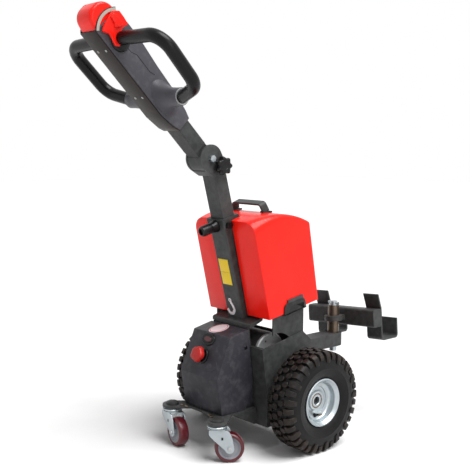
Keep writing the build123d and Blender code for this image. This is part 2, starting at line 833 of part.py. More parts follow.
# Head housing, upright on its flanks. Columns: height out of the tiller, distance along it
flank_half = 32
head_low = -36.8
head_outline = (
    (head_low, 434), (head_low, 178), (-29, 136), (-22, 119), (18, 119), (24, 140),
    (32, 200), (35, 268), (42, 350), (41, 400), (36, 434),
)
boss_foot = loop_foot - 36
top_boss_radius = 25
top_boss_foot = loop_foot + 134
top_boss_reach = 42
with BuildPart() as head_housing:
    with BuildSketch(flank_plane(-flank_half)):
        with BuildLine():
            Polyline(*head_outline, close=True)
        make_face()
    extrude(amount=2 * flank_half)
    fillet(head_housing.edges().filter_by(GeomType.LINE).filter_by(Axis.X, reverse=True).group_by(Axis.Z)[-2:], 2)
    for name, side in sides:
        with BuildPart(mode=Mode.PRIVATE) as boss:
            for place, length, radius in ((flank_half, 46, 28), (flank_half + 26, 34, 24)):
                with BuildSketch(flank_plane(side * place)):
                    with Locations((loop_level + 1, boss_foot)):
                        Ellipse(radius, length)
            with BuildSketch(flank_plane(side * socket_reach)):
                with Locations((loop_level, boss_foot)):
                    Circle(socket_radius)
            loft(ruled=True)
        add(boss.part)
        with BuildSketch(flank_plane(side * (flank_half - 4))):
            with Locations((loop_level, top_boss_foot)):
                Circle(top_boss_radius)
        extrude(amount=side * (top_boss_reach - flank_half + 4), taper=6)
    with BuildSketch(arm_plane(100)):
        with Locations((0, arm_mid)):
            Rectangle(arm_width + 2 * seat, arm_depth + 2 * seat)
    extrude(amount=arm_length + seat - 100, mode=Mode.SUBTRACT)
    grip_room = bent_tube(loop_radius + seat).part
    add(grip_room, mode=Mode.SUBTRACT)
    add(grip_room.mirror(Plane.YZ), mode=Mode.SUBTRACT)
finish(head_housing, "head_housing")

strip_sheet = 3
strip_half = 31
strip_start = 180
head_end = head_outline[0][1]
with BuildPart() as head_strip:
    with BuildSketch(arm_plane(strip_start)):
        with Locations((0, head_low - strip_sheet / 2)):
            Rectangle(strip_half * 2, strip_sheet)
    extrude(amount=head_end - strip_start)
finish(head_strip, "head_strip")

# Belly switch cap on the head's end
cap_half = 31
cap_foot = head_end + seat
with BuildPart() as head_cap:
    with BuildSketch(flank_plane(-cap_half)):
        with BuildLine():
            Polyline((36, cap_foot + 10), (36, cap_foot), (-36, cap_foot), (-33, 450))
            ThreePointArc((-33, 450), (-25, 465), (-8, 473.5))
            Line((-8, 473.5), (8, 474))
            ThreePointArc((8, 474), (27, 463), (36, cap_foot + 10))
        make_face()
    extrude(amount=2 * cap_half)
finish(head_cap, "head_cap")

# Thumb paddles, like a pair of wings on each flank, with a fin to push
paddle_sheet = 10
paddle_outline = (
    (-31.5, 425), (-7, 433.5), (20, 437), (34.5, 428), (31.5, 393), (16, 396.5), (2.4, 402),
    (-14, 404), (-22, 400),
)
paddle_fin = ((8, 436), (19, 433), (20, 410), (4, 408))
for name, side in sides:
    with BuildPart() as paddle:
        for outline, start, thick in ((paddle_outline, seat, paddle_sheet), (paddle_fin, paddle_sheet, 8)):
            with BuildSketch(flank_plane(side * (flank_half + start))):
                with BuildLine():
                    Polyline(*outline, close=True)
                make_face()
            extrude(amount=side * thick)
    finish(paddle, f"paddle_{name}")

# Battery case, its carry handle and the brackets under it
case_turn = radians(case_tilt)
case_axis = Vector(0, -sin(case_turn), cos(case_turn))
case_back = Vector(0, cos(case_turn), sin(case_turn))
case_foot = Vector(0, case_y, case_z)


def case_plane(height):
    """Plane square to the case: local x along +X, local y from the front edge backwards."""
    return Plane(origin=case_foot + case_axis * height, x_dir=(1, 0, 0), z_dir=case_axis)


crown_peak = sqrt(crown_radius**2 - (crown_radius - case_height + crown_front) ** 2) - case_front_flare
case_side = Plane(origin=case_foot - Vector(case_half, 0, 0), x_dir=case_back, z_dir=(1, 0, 0))
with BuildPart() as battery_case:
    with BuildSketch(case_side):
        with BuildLine():
            Polyline(
                (-case_front_flare, crown_front), (0, 0), (case_depth, 0), (case_depth, crown_rear),
            )
            ThreePointArc(
                (case_depth, crown_rear), (crown_peak, case_height), (-case_front_flare, crown_front),
            )
        make_face()
    extrude(amount=2 * case_half)
    fillet(battery_case.faces().filter_by(Axis.X).edges().filter_by(GeomType.CIRCLE), case_shoulder)
    fillet(battery_case.faces().filter_by(GeomType.PLANE).group_by(Axis.Y)[0].edges().group_by(Axis.Z)[1:], 6)
    with BuildSketch(mast_plane(-40)):
        with Locations((0, mast_channel_back - 50)):
            Rectangle(2 * mast_channel_half, 100)
    extrude(amount=400, mode=Mode.SUBTRACT)
finish(battery_case, "battery_case")

handle_strap = 5
handle_wide = 22
handle_spread = 7
handle_height = 29
handle_lean = 20
handle_turn = radians(handle_lean)
crown_turn = asin((handle_from_front - crown_peak) / crown_radius)
crown_drop = crown_radius * (1 - cos(crown_turn))
foot_turn = case_turn - crown_turn
with BuildPart() as battery_handle:
    handle_up = Vector(0, -sin(handle_turn), cos(handle_turn))
    handle_back = Vector(0, cos(handle_turn), sin(handle_turn))
    handle_root = case_foot + case_axis * (case_height - crown_drop) + case_back * handle_from_front
    handle_plane = Plane(origin=handle_root + handle_back * (handle_wide / 2), x_dir=(1, 0, 0), z_dir=handle_back * -1)
    with BuildSketch(handle_plane):
        with BuildLine():
            strap = FilletPolyline(
                (-handle_half - handle_spread, 5), (-handle_half, handle_height - handle_strap / 2),
                (handle_half, handle_height - handle_strap / 2), (handle_half + handle_spread, 5), radius=8,
            )
            offset(strap, handle_strap / 2, side=Side.BOTH)
        make_face()
    extrude(amount=handle_wide)
    foot_normal = Vector(0, -sin(foot_turn), cos(foot_turn))
    with BuildSketch(Plane(origin=handle_root + foot_normal * seat, x_dir=(1, 0, 0), z_dir=foot_normal)):
        for name, side in sides:
            with Locations((side * (handle_half + handle_spread), 0)):
                Rectangle(12, handle_wide + 10)
    extrude(amount=handle_strap)
    with BuildSketch(Plane(origin=handle_root + foot_normal * seat, x_dir=(1, 0, 0), z_dir=foot_normal)):
        Rectangle(3 * handle_half, 3 * handle_wide)
    extrude(amount=-2 * handle_strap, mode=Mode.SUBTRACT)
finish(battery_handle, "battery_handle")

# Folded tray under the case: two walls inside the chassis, a floor, and a tab up each side
with BuildPart() as battery_tray:
    tray_floor = case_plane(-tray_sheet - seat)
    with BuildSketch(tray_floor):
        with Locations((0, (tray_front + tray_rear) / 2)):
            Rectangle(2 * (side_x - sheet - seat), tray_rear - tray_front)
        with Locations((0, (tab_front + tab_rear) / 2)):
            Rectangle(2 * (case_half + seat + tray_sheet), tab_rear - tab_front)
        with Locations((0, tray_front)):
            Rectangle(2 * (foot_tongue_half + 5), 96, mode=Mode.SUBTRACT)
    extrude(amount=tray_sheet)
    for name, side in sides:
        with BuildSketch(side_plane(side * (side_x - sheet - seat))):
            with BuildLine():
                foot_corners = [
                    case_foot + case_back * tray_front, case_foot + case_back * tray_rear,
                ]
                Polyline(
                    (foot_corners[0].Y, foot_corners[0].Z - 3), (foot_corners[1].Y, foot_corners[1].Z - 3),
                    (foot_corners[1].Y, tray_foot), (foot_corners[0].Y, tray_foot), close=True,
                )
            make_face()
        extrude(amount=-side * tray_sheet)
        with BuildSketch(Plane(origin=(side * (case_half + seat), 0, 0), x_dir=(0, 1, 0), z_dir=(1, 0, 0))):
            with BuildLine():
                low_front = case_foot + case_back * tab_front - case_axis * (tray_sheet + seat)
                low_rear = case_foot + case_back * tab_rear - case_axis * (tray_sheet + seat)
                high_front = low_front + case_axis * tab_height + case_back * 4
                high_rear = low_rear + case_axis * tab_height
                Polyline(
                    (low_front.Y, low_front.Z), (low_rear.Y, low_rear.Z),
                    (high_rear.Y, high_rear.Z), (high_front.Y, high_front.Z), close=True,
                )
            make_face()
        extrude(amount=side * tray_sheet)
    with BuildSketch(side_plane(-side_x)):
        with Locations((motor_y, motor_z)):
            Circle(motor_radius + 4)
    extrude(amount=2 * side_x, mode=Mode.SUBTRACT)
finish(battery_tray, "battery_tray")

# The finished machine is moved so that its middle stands over the origin
front_end = min(piece.part.bounding_box().min.Y for piece in pieces)
rear_end = max(piece.part.bounding_box().max.Y for piece in pieces)
middle_y = (front_end + rear_end) / 2
for piece in pieces:
    piece.part.move(Location((0, -middle_y, 0)))
    export_step(piece.part, f"parts/{piece.part.label}.step")
print("middle", round(middle_y, 3), "length", round(rear_end - front_end, 1))
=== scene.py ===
import bpy
import bmesh
import json
import math
from mathutils import Matrix, Vector


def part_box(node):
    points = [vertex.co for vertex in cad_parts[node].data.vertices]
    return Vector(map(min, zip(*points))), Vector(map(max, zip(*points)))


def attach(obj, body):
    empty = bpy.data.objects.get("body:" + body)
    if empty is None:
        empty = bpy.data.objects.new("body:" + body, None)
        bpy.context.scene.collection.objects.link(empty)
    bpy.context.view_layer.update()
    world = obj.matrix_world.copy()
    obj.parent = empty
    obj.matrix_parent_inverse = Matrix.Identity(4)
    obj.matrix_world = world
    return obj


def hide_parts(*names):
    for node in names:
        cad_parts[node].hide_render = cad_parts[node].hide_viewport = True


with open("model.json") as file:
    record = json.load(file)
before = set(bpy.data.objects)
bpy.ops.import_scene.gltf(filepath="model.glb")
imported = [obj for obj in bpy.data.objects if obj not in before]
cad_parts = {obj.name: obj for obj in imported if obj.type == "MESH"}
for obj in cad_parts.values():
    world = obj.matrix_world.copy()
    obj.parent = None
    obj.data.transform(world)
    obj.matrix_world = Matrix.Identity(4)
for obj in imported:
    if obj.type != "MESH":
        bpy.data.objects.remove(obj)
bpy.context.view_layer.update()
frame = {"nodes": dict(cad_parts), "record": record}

scene = bpy.context.scene
scene.view_settings.view_transform = "Standard"

# Shift of the drive axle from the frame's origin, in metres
AXLE_Y = sum(corner[1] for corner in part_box("tyre_right")) / 2


def at(x, y, z):
    """Point given in millimetres with the drive axle over Y = 0."""
    return Vector((x / 1000, y / 1000 + AXLE_Y, z / 1000))


# Camera, at the photograph's angle
CAMERA_PLACE = (1617.5, -1540.1, 788.3)
CAMERA_AZIMUTH, CAMERA_PITCH, CAMERA_ROLL = 48.49, 6.2, 0.43
SENSOR, PICTURE_WIDTH, FOCUS_IN_PIXELS = 36, 470, 826.83


def add_camera():
    data = bpy.data.cameras.new("camera")
    data.sensor_width = SENSOR
    data.lens = FOCUS_IN_PIXELS * SENSOR / PICTURE_WIDTH
    data.clip_end = 60
    azimuth, pitch, roll = (math.radians(angle) for angle in (CAMERA_AZIMUTH, CAMERA_PITCH, CAMERA_ROLL))
    level = Vector((math.cos(azimuth), math.sin(azimuth), 0))
    ahead = Vector((-math.sin(azimuth), math.cos(azimuth), 0))
    look = ahead * math.cos(pitch) - Vector((0, 0, math.sin(pitch)))
    rise = level.cross(look)
    right = level * math.cos(roll) + rise * math.sin(roll)
    up = rise * math.cos(roll) - level * math.sin(roll)
    camera = bpy.data.objects.new("camera", data)
    camera.matrix_world = Matrix.Translation(at(*CAMERA_PLACE)) @ Matrix(
        (right, up, -look)).transposed().to_4x4()
    scene.collection.objects.link(camera)
    scene.camera = camera


add_camera()

# Node helpers
def feed(tree, source, socket):
    """Feeds a socket from another one, or sets it to a plain value."""
    if isinstance(source, bpy.types.NodeSocket):
        tree.links.new(source, socket)
    else:
        socket.default_value = source


def maths(tree, operation, *sources):
    """Result of a maths node fed by sockets or numbers."""
    node = tree.nodes.new("ShaderNodeMath")
    node.operation = operation
    for socket, source in zip(node.inputs, sources):
        feed(tree, source, socket)
    return node.outputs["Value"]


# World and lights
SKY_LIGHT = 0.26


def seen_share(tree):
    """1 for rays that should meet the plain white surroundings, 0 for the ones that carry light."""
    rays = tree.nodes.new("ShaderNodeLightPath").outputs
    seen = maths(tree, "MAXIMUM", rays["Is Camera Ray"], rays["Is Glossy Ray"])
    return maths(tree, "MAXIMUM", seen, rays["Is Transmission Ray"])


def build_world():
    world = bpy.data.worlds.new("studio")
    scene.world = world
    world.use_nodes = True
    tree = world.node_tree
    backdrop = tree.nodes["Background"]
    backdrop.inputs["Color"].default_value = (1, 1, 1, 1)
    sky = tree.nodes.new("ShaderNodeMapRange")
    sky.inputs["To Min"].default_value = SKY_LIGHT
    sky.inputs["To Max"].default_value = 1
    tree.links.new(seen_share(tree), sky.inputs["Value"])
    tree.links.new(sky.outputs["Result"], backdrop.inputs["Strength"])


def soft_light(name, place, target, size, power):
    data = bpy.data.lights.new(name, "AREA")
    data.shape = "RECTANGLE"
    data.size, data.size_y = size
    data.energy = power
    lamp = bpy.data.objects.new(name, data)
    lamp.location = place
    lamp.rotation_euler = (Vector(target) - Vector(place)).to_track_quat("-Z", "Y").to_euler()
    scene.collection.objects.link(lamp)


def broad_sun(name, towards, strength, angle):
    data = bpy.data.lights.new(name, "SUN")
    data.energy = strength
    data.angle = math.radians(angle)
    lamp = bpy.data.objects.new(name, data)
    lamp.location = (0, 0, 3)
    lamp.rotation_euler = Vector(towards).to_track_quat("-Z", "Y").to_euler()
    scene.collection.objects.link(lamp)


build_world()
broad_sun("ceiling", towards=(-0.44, -0.14, -0.88), strength=4.2, angle=45)
soft_light("key", place=(3.2, -0.3, 1.5), target=(0, 0, 0.5), size=(1.4, 1.8), power=18)
soft_light("fill", place=(-1.4, -2.8, 1.4), target=(0, 0, 0.5), size=(1.0, 1.8), power=3)

# Materials. Each group is built once and has named inputs
LINEAR = 2.2


def tone(r, g, b):
    """Linear colour from one read off a screen."""
    return tuple((c / 255) ** LINEAR for c in (r, g, b)) + (1,)


def new_group(name, inputs, outputs, kind="ShaderNodeTree"):
    """Empty group with named sockets, and its input and output nodes."""
    tree = bpy.data.node_groups.new(name, kind)
    for label, socket_type, value in inputs:
        socket = tree.interface.new_socket(label, in_out="INPUT", socket_type=socket_type)
        if value is not None:
            socket.default_value = value
    for label, socket_type in outputs:
        tree.interface.new_socket(label, in_out="OUTPUT", socket_type=socket_type)
    return tree, tree.nodes.new("NodeGroupInput"), tree.nodes.new("NodeGroupOutput")


FLOAT, COLOR, VECTOR = "NodeSocketFloat", "NodeSocketColor", "NodeSocketVector"


DRIFT_BAND, DUST_BAND = (0.35, 0.68), (0.5, 0.78)
EDGE_BREAK = 0.25


def noise(tree, inside, scale, detail, roughness=0.5):
    """Noise over the group's own vector, at the scale of the named input."""
    node = tree.nodes.new("ShaderNodeTexNoise")
    node.inputs["Detail"].default_value = detail
    node.inputs["Roughness"].default_value = roughness
    tree.links.new(inside.outputs["Vector"], node.inputs["Vector"])
    tree.links.new(inside.outputs[scale], node.inputs["Scale"])
    return node.outputs["Fac"]


def mix(tree, share, first, second):
    """Colour at a share of the way from the first to the second."""
    node = tree.nodes.new("ShaderNodeMix")
    node.data_type = "RGBA"
    for label, source in (("Factor", share), ("A", first), ("B", second)):
        feed(tree, source, node.inputs[label])
    return node.outputs["Result"]


def ramp(tree, source, low, high, interpolation="SMOOTHSTEP"):
    """Rises from 0 to 1 while the source goes from low to high."""
    node = tree.nodes.new("ShaderNodeMapRange")
    node.interpolation_type = interpolation
    for label, value in (("Value", source), ("From Min", low), ("From Max", high)):
        feed(tree, value, node.inputs[label])
    return node.outputs["Result"]


def build_weather():
    """Colour that drifts in large soft patches, with dust and scuffs over it."""
    tree, inside, outside = new_group(
        "weathered colour",
        (("Vector", VECTOR, None), ("Colour", COLOR, None), ("Drift Colour", COLOR, None),
         ("Dust Colour", COLOR, None), ("Drift Scale", FLOAT, 6.0), ("Dust Scale", FLOAT, 22.0),
         ("Dust", FLOAT, 0.2), ("Roughness", FLOAT, 0.5), ("Roughness Spread", FLOAT, 0.1)),
        (("Colour", COLOR), ("Roughness", FLOAT)))
    given = inside.outputs
    drift = ramp(tree, noise(tree, inside, "Drift Scale", 3), *DRIFT_BAND)
    base = mix(tree, drift, given["Colour"], given["Drift Colour"])
    dust = noise(tree, inside, "Dust Scale", 8, 0.62)
    amount = maths(tree, "MULTIPLY", ramp(tree, dust, *DUST_BAND), given["Dust"])
    tree.links.new(mix(tree, amount, base, given["Dust Colour"]), outside.inputs["Colour"])
    rough = maths(tree, "MULTIPLY_ADD", dust, given["Roughness Spread"], given["Roughness"])
    tree.links.new(rough, outside.inputs["Roughness"])
    return tree


def build_grain():
    """Normal of a moulded or sprayed surface: fine cells over a slow waviness."""
    tree, inside, outside = new_group(
        "surface grain",
        (("Vector", VECTOR, None), ("Grain Scale", FLOAT, 900.0), ("Grain", FLOAT, 0.4),
         ("Wave Scale", FLOAT, 40.0), ("Wave", FLOAT, 0.1), ("Height", FLOAT, 0.0003)),
        (("Normal", VECTOR),))
    given = inside.outputs
    cells = tree.nodes.new("ShaderNodeTexVoronoi")
    tree.links.new(given["Vector"], cells.inputs["Vector"])
    tree.links.new(given["Grain Scale"], cells.inputs["Scale"])
    fine = maths(tree, "MULTIPLY", cells.outputs["Distance"], given["Grain"])
    level = maths(tree, "MULTIPLY_ADD", noise(tree, inside, "Wave Scale", 2), given["Wave"], fine)
    bump = tree.nodes.new("ShaderNodeBump")
    tree.links.new(level, bump.inputs["Height"])
    tree.links.new(given["Height"], bump.inputs["Distance"])
    tree.links.new(bump.outputs["Normal"], outside.inputs["Normal"])
    return tree


def build_edge():
    """Mask that is 1 along convex edges, broken up by noise."""
    tree, inside, outside = new_group(
        "worn edge",
        (("Vector", VECTOR, None), ("Break Scale", FLOAT, 60.0), ("Low", FLOAT, 0.56), ("High", FLOAT, 0.72)),
        (("Mask", FLOAT),))
    given = inside.outputs
    sharpness = tree.nodes.new("ShaderNodeNewGeometry").outputs["Pointiness"]
    broken = maths(tree, "MULTIPLY_ADD", noise(tree, inside, "Break Scale", 4), EDGE_BREAK, sharpness)
    tree.links.new(ramp(tree, broken, given["Low"], given["High"], "LINEAR"), outside.inputs["Mask"])
    return tree


WEATHER, GRAIN, EDGE = build_weather(), build_grain(), build_edge()
WORN_FROM, WORN_TO = 0.66, 0.8


def call(tree, group, vector, **values):
    """Node that uses a group, with the values of its inputs."""
    node = tree.nodes.new("ShaderNodeGroup")
    node.node_tree = group
    tree.links.new(vector, node.inputs["Vector"])
    for label, value in values.items():
        node.inputs[label.replace("_", " ")].default_value = value
    return node


def make_material(name, colour, drift, dust_colour, dust=0.15, drift_scale=7.0, dust_scale=25.0,
                  roughness=0.45, spread=0.15, metallic=0.0, grain=0.4, grain_scale=900.0, wave=0.1,
                  wave_scale=40.0, height=0.0002, edge=None, specular=0.5):
    """Finish over Object coordinates; an edge colour shows where convex edges are worn."""
    material = bpy.data.materials.new(name)
    material.use_nodes = True
    tree = material.node_tree
    shader = tree.nodes["Principled BSDF"]
    place = tree.nodes.new("ShaderNodeTexCoord").outputs["Object"]
    weather = call(tree, WEATHER, place, Colour=colour, Drift_Colour=drift, Dust_Colour=dust_colour,
                   Drift_Scale=drift_scale, Dust_Scale=dust_scale, Dust=dust, Roughness=roughness,
                   Roughness_Spread=spread)
    surface = call(tree, GRAIN, place, Grain_Scale=grain_scale, Grain=grain, Wave_Scale=wave_scale,
                   Wave=wave, Height=height)
    final = weather.outputs["Colour"]
    if edge:
        mask = call(tree, EDGE, place, Low=WORN_FROM, High=WORN_TO).outputs["Mask"]
        final = mix(tree, mask, final, edge)
    tree.links.new(final, shader.inputs["Base Color"])
    tree.links.new(weather.outputs["Roughness"], shader.inputs["Roughness"])
    tree.links.new(surface.outputs["Normal"], shader.inputs["Normal"])
    shader.inputs["Metallic"].default_value = metallic
    shader.inputs["Specular IOR Level"].default_value = specular
    return material


FINISHES = {
    "tyre": dict(
        colour=tone(13, 13, 14), drift=tone(18, 17, 17), dust_colour=tone(50, 45, 41), dust=0.2,
        dust_scale=45, roughness=0.26, spread=0.3, grain_scale=600, height=0.0003, specular=0.2),
    "tread": dict(
        colour=tone(26, 23, 22), drift=tone(36, 30, 27), dust_colour=tone(78, 64, 55), dust=0.55,
        dust_scale=60, roughness=0.34, spread=0.3, grain=0.5, grain_scale=500, height=0.0004,
        specular=0.22),
    "wheel_metal": dict(
        colour=tone(178, 186, 190), drift=tone(160, 168, 172), dust_colour=tone(110, 106, 100),
        dust=0.25, roughness=0.24, spread=0.22, metallic=0.85, grain=0.1, wave=0.4, wave_scale=90,
        height=0.0003),
    "dark_coat": dict(
        colour=tone(44, 45, 45), drift=tone(47, 47, 46), dust_colour=tone(78, 76, 73), dust=0.07,
        roughness=0.4, spread=0.14, height=0.0001, edge=tone(70, 71, 71), specular=0.2),
    "cover_plastic": dict(
        colour=tone(49, 48, 53), drift=tone(53, 52, 57), dust_colour=tone(82, 80, 80), dust=0.03,
        roughness=0.36, spread=0.1, grain=0.5, height=0.0001, edge=tone(80, 79, 83), specular=0.16),
    "head_plastic": dict(
        colour=tone(70, 69, 74), drift=tone(74, 73, 78), dust_colour=tone(104, 102, 100), dust=0.06,
        roughness=0.36, spread=0.14, grain=0.5, height=0.0001, edge=tone(98, 97, 101), specular=0.2),
    "strip_metal": dict(
        colour=tone(32, 26, 24), drift=tone(40, 32, 29), dust_colour=tone(92, 80, 70), dust=0.3,
        roughness=0.34, spread=0.2, grain=0.3, specular=0.2),
    "red_plastic": dict(
        colour=tone(240, 36, 25), drift=tone(232, 32, 22), dust_colour=tone(176, 66, 50), dust=0.07,
        roughness=0.2, spread=0.1, grain=0.2, grain_scale=500, wave=0.5, wave_scale=25, specular=0.22),
    "knob_red": dict(
        colour=tone(176, 32, 26), drift=tone(160, 28, 24), dust_colour=tone(130, 60, 52), roughness=0.3,
        grain=0.2, specular=0.35),
    "grip_rubber": dict(
        colour=tone(14, 12, 14), drift=tone(18, 16, 18), dust_colour=tone(44, 40, 40), dust=0.1,
        roughness=0.24, spread=0.14, grain=0.5, grain_scale=700, height=0.0001, specular=0.2),
    "black_plastic": dict(
        colour=tone(18, 17, 19), drift=tone(24, 23, 25), dust_colour=tone(54, 50, 48), dust=0.12,
        roughness=0.2, spread=0.2, grain=0.2, height=0.0001, specular=0.25),
    "tread_maroon": dict(
        colour=tone(88, 14, 28), drift=tone(70, 12, 22), dust_colour=tone(110, 66, 62), dust=0.3,
        roughness=0.2, spread=0.25),
    "hub_plastic": dict(
        colour=tone(134, 136, 142), drift=tone(118, 120, 126), dust_colour=tone(100, 92, 86), dust=0.4,
        roughness=0.35, spread=0.2),
    "motor_black": dict(
        colour=tone(28, 28, 30), drift=tone(34, 33, 34), dust_colour=tone(84, 80, 74), dust=0.2,
        roughness=0.4, spread=0.2, grain=0.5, edge=tone(70, 69, 68), specular=0.3),
    "bare_metal": dict(
        colour=tone(176, 178, 180), drift=tone(160, 161, 162), dust_colour=tone(112, 110, 104),
        dust=0.25, roughness=0.36, spread=0.2, metallic=0.35, grain=0.1),
    "steel": dict(
        colour=tone(124, 110, 98), drift=tone(92, 80, 70), dust_colour=tone(76, 62, 52), dust=0.5,
        roughness=0.26, spread=0.25, metallic=0.9, grain=0.2, height=0.0003),
    "sign_yellow": dict(
        colour=tone(236, 200, 32), drift=tone(226, 188, 30), dust_colour=tone(150, 130, 80), dust=0.12,
        roughness=0.35, grain=0.1, height=0.0001, specular=0.3),
    "sign_white": dict(
        colour=tone(232, 222, 226), drift=tone(224, 214, 218), dust_colour=tone(170, 160, 150),
        dust=0.12, roughness=0.35, grain=0.1, height=0.0001, specular=0.3),
    "sign_red": dict(
        colour=tone(196, 50, 62), drift=tone(180, 44, 56), dust_colour=tone(150, 90, 90), dust=0.1,
        roughness=0.35, grain=0.1, height=0.0001, specular=0.3),
    "gauge_red": dict(
        colour=tone(92, 20, 24), drift=tone(60, 14, 18), dust_colour=tone(110, 70, 66), dust=0.1,
        roughness=0.12, spread=0.05, grain=0.0, height=0.0001),
    "ring_grey": dict(
        colour=tone(176, 172, 160), drift=tone(160, 156, 146), dust_colour=tone(120, 116, 110),
        dust=0.2, roughness=0.3, grain=0.2, metallic=0.3),
}
MATERIALS = {name: make_material(name, **values) for name, values in FINISHES.items()}
slot_of = {entry["node"]: entry["material_slot"] for entry in frame["record"]["subparts"]}
for node_name, obj in frame["nodes"].items():
    obj.data.materials.clear()
    obj.data.materials.append(MATERIALS[slot_of[node_name]])

# Frames of the leaning parts. Sizes from here on are millimetres, with the drive axle over Y = 0
TRACK, AXLE_HEIGHT = 378, 132.5
PLATE_TOP = 104
MAST_LEAN, ARM_LEAN, CASE_LEAN = 15, 45, 10.5
MAST_HALF = 25
SIDES = (("right", 1), ("left", -1))
X_AXIS, Y_AXIS, Z_AXIS = Vector((1, 0, 0)), Vector((0, 1, 0)), Vector((0, 0, 1))


def leaning(angle):
    """Directions along and behind something that leans towards the operator."""
    turn = math.radians(angle)
    return Vector((0, -math.sin(turn), math.cos(turn))), Vector((0, math.cos(turn), math.sin(turn)))


MAST_AXIS, MAST_BACK = leaning(MAST_LEAN)
ARM_AXIS, ARM_UP = leaning(ARM_LEAN)
CASE_AXIS, CASE_BACK = leaning(CASE_LEAN)
MAST_FOOT = Vector((0, -104.8, 333.17)) + MAST_BACK * MAST_HALF
CASE_FOOT = Vector((0, -91.9, 342.3))
KNUCKLE = Vector((0, -214.7, 754.7))


def spot(origin, x_dir, z_dir):
    """Placement of a sketch plane whose own sizes are in millimetres."""
    z, x = Vector(z_dir).normalized(), Vector(x_dir).normalized()
    turn = Matrix((x, z.cross(x), z)).transposed().to_4x4()
    return Matrix.Translation(at(*origin)) @ turn @ Matrix.Scale(0.001, 4)


def outboard(side, low, high):
    """Range along X on one side of the middle, lower end first."""
    return sorted((side * low, side * high))


# Shapes, made in millimetres on their own plane
def soften(shape, width, segments=2, angle=25, choose=None):
    """Rounds the edges that are sharper than the angle."""
    bmesh.ops.recalc_face_normals(shape, faces=shape.faces[:])
    if width:
        limit = math.radians(angle)
        edges = [edge for edge in shape.edges
                 if edge.is_manifold and edge.calc_face_angle(0) > limit and (choose is None or choose(edge))]
        bmesh.ops.bevel(shape, geom=edges, offset=width, segments=segments, profile=0.5,
                        affect="EDGES", clamp_overlap=True)
    return shape


def prism(outline, low, high, bevel=0.0, segments=2, choose=None):
    """Flat outline raised from one height to another."""
    shape = bmesh.new()
    lower = [shape.verts.new((x, y, low)) for x, y in outline]
    upper = [shape.verts.new((x, y, high)) for x, y in outline]
    shape.faces.new(lower)
    shape.faces.new(upper)
    for k in range(len(outline)):
        shape.faces.new((lower[k - 1], lower[k], upper[k], upper[k - 1]))
    return soften(shape, bevel, segments, choose=choose)


def rings(loops, closed=False):
    """Skin over loops of points; a loop of one point closes the skin there."""
    shape = bmesh.new()
    made = [[shape.verts.new(point) for point in loop] for loop in loops]
    pairs = list(zip(made, made[1:])) + ([(made[-1], made[0])] if closed else [])
    for first, second in pairs:
        for k in range(max(len(first), len(second))):
            corners = [first[k % len(first)], first[(k + 1) % len(first)],
                       second[(k + 1) % len(second)], second[k % len(second)]]
            corners = list(dict.fromkeys(corners))
            if len(corners) > 2:
                shape.faces.new(corners)
    if not closed:
        for end in (made[0], made[-1]):
            if len(end) > 2:
                shape.faces.new(end)
    bmesh.ops.recalc_face_normals(shape, faces=shape.faces[:])
    return shape


def circle(radius, height, steps, middle=(0, 0), squash=1.0):
    """Ring of points; squash makes it an oval along local y, and a radius of 0 one point."""
    if radius == 0:
        return [(middle[0], middle[1], height)]
    return [(middle[0] + radius * math.cos(2 * math.pi * k / steps),
             middle[1] + radius * squash * math.sin(2 * math.pi * k / steps), height) for k in range(steps)]


def lobed(radius, depth, count, steps, height, scale=1.0, middle=(0, 0)):
    """Ring of points with soft lobes, as on a hand knob."""
    return [(middle[0] + scale * (radius + depth * math.cos(count * a)) * math.cos(a),
             middle[1] + scale * (radius + depth * math.cos(count * a)) * math.sin(a), height)
            for a in (2 * math.pi * k / steps for k in range(steps))]


def lathe(profile, steps=72, closed=False, middle=(0, 0)):
    """Turned shape. Columns of the profile: height along the axis, radius."""
    return rings([circle(radius, height, steps, middle) for height, radius in profile], closed)


def disc(radius, low, high, bevel=0.8, steps=48, middle=(0, 0)):
    return lathe(((low, 0), (low, radius - bevel), (low + bevel, radius), (high - bevel, radius),
                  (high, radius - bevel), (high, 0)), steps, middle=middle)


def washer(outer, inner, low, high, bevel=0.5, steps=64, middle=(0, 0)):
    return lathe(((low, inner), (low, outer - bevel), (low + bevel, outer), (high - bevel, outer),
                  (high, outer - bevel), (high, inner)), steps, closed=True, middle=middle)


def oval(across, along, low, high, bevel=0.5, steps=56, middle=(0, 0)):
    """Oval button with the given half lengths."""
    squash = along / across
    levels = ((bevel, low), (0, low + bevel), (0, high - bevel), (bevel, high))
    skin = [circle(across - inset, height, steps, middle, squash) for inset, height in levels]
    return rings([circle(0, low, steps, middle)] + skin + [circle(0, high, steps, middle)])


def hex_head(radius, low, high, middle=(0, 0)):
    corners = [(middle[0] + radius * math.cos(math.radians(60 * k)),
                middle[1] + radius * math.sin(math.radians(60 * k))) for k in range(6)]
    return prism(corners, low, high, 0.6)


def block(stations):
    """Lug along local z. Columns: place along z, top, foot, half width."""
    return rings([[(top, -half, z), (top, half, z), (foot, half, z), (foot, -half, z)]
                  for z, top, foot, half in stations])


def bent_tube(path, radius, steps=32):
    """Round bar along a path that lies in the local plane."""
    loops = []
    for k, point in enumerate(path):
        ahead = (path[min(k + 1, len(path) - 1)] - path[max(k - 1, 0)]).normalized()
        side = Vector((-ahead.y, ahead.x))
        loops.append([(point.x + side.x * radius * math.cos(a), point.y + side.y * radius * math.cos(a),
                       radius * math.sin(a)) for a in (2 * math.pi * s / steps for s in range(steps))])
    return rings(loops)


# Outlines and paths
def rectangle(left, low, right, high):
    return ((left, low), (right, low), (right, high), (left, high))


def arc_points(middle, radius, start, stop, steps=14):
    """Points on an arc between two angles in degrees."""
    angles = [math.radians(start + (stop - start) * k / steps) for k in range(steps + 1)]
    return [(middle[0] + radius * math.cos(a), middle[1] + radius * math.sin(a)) for a in angles]


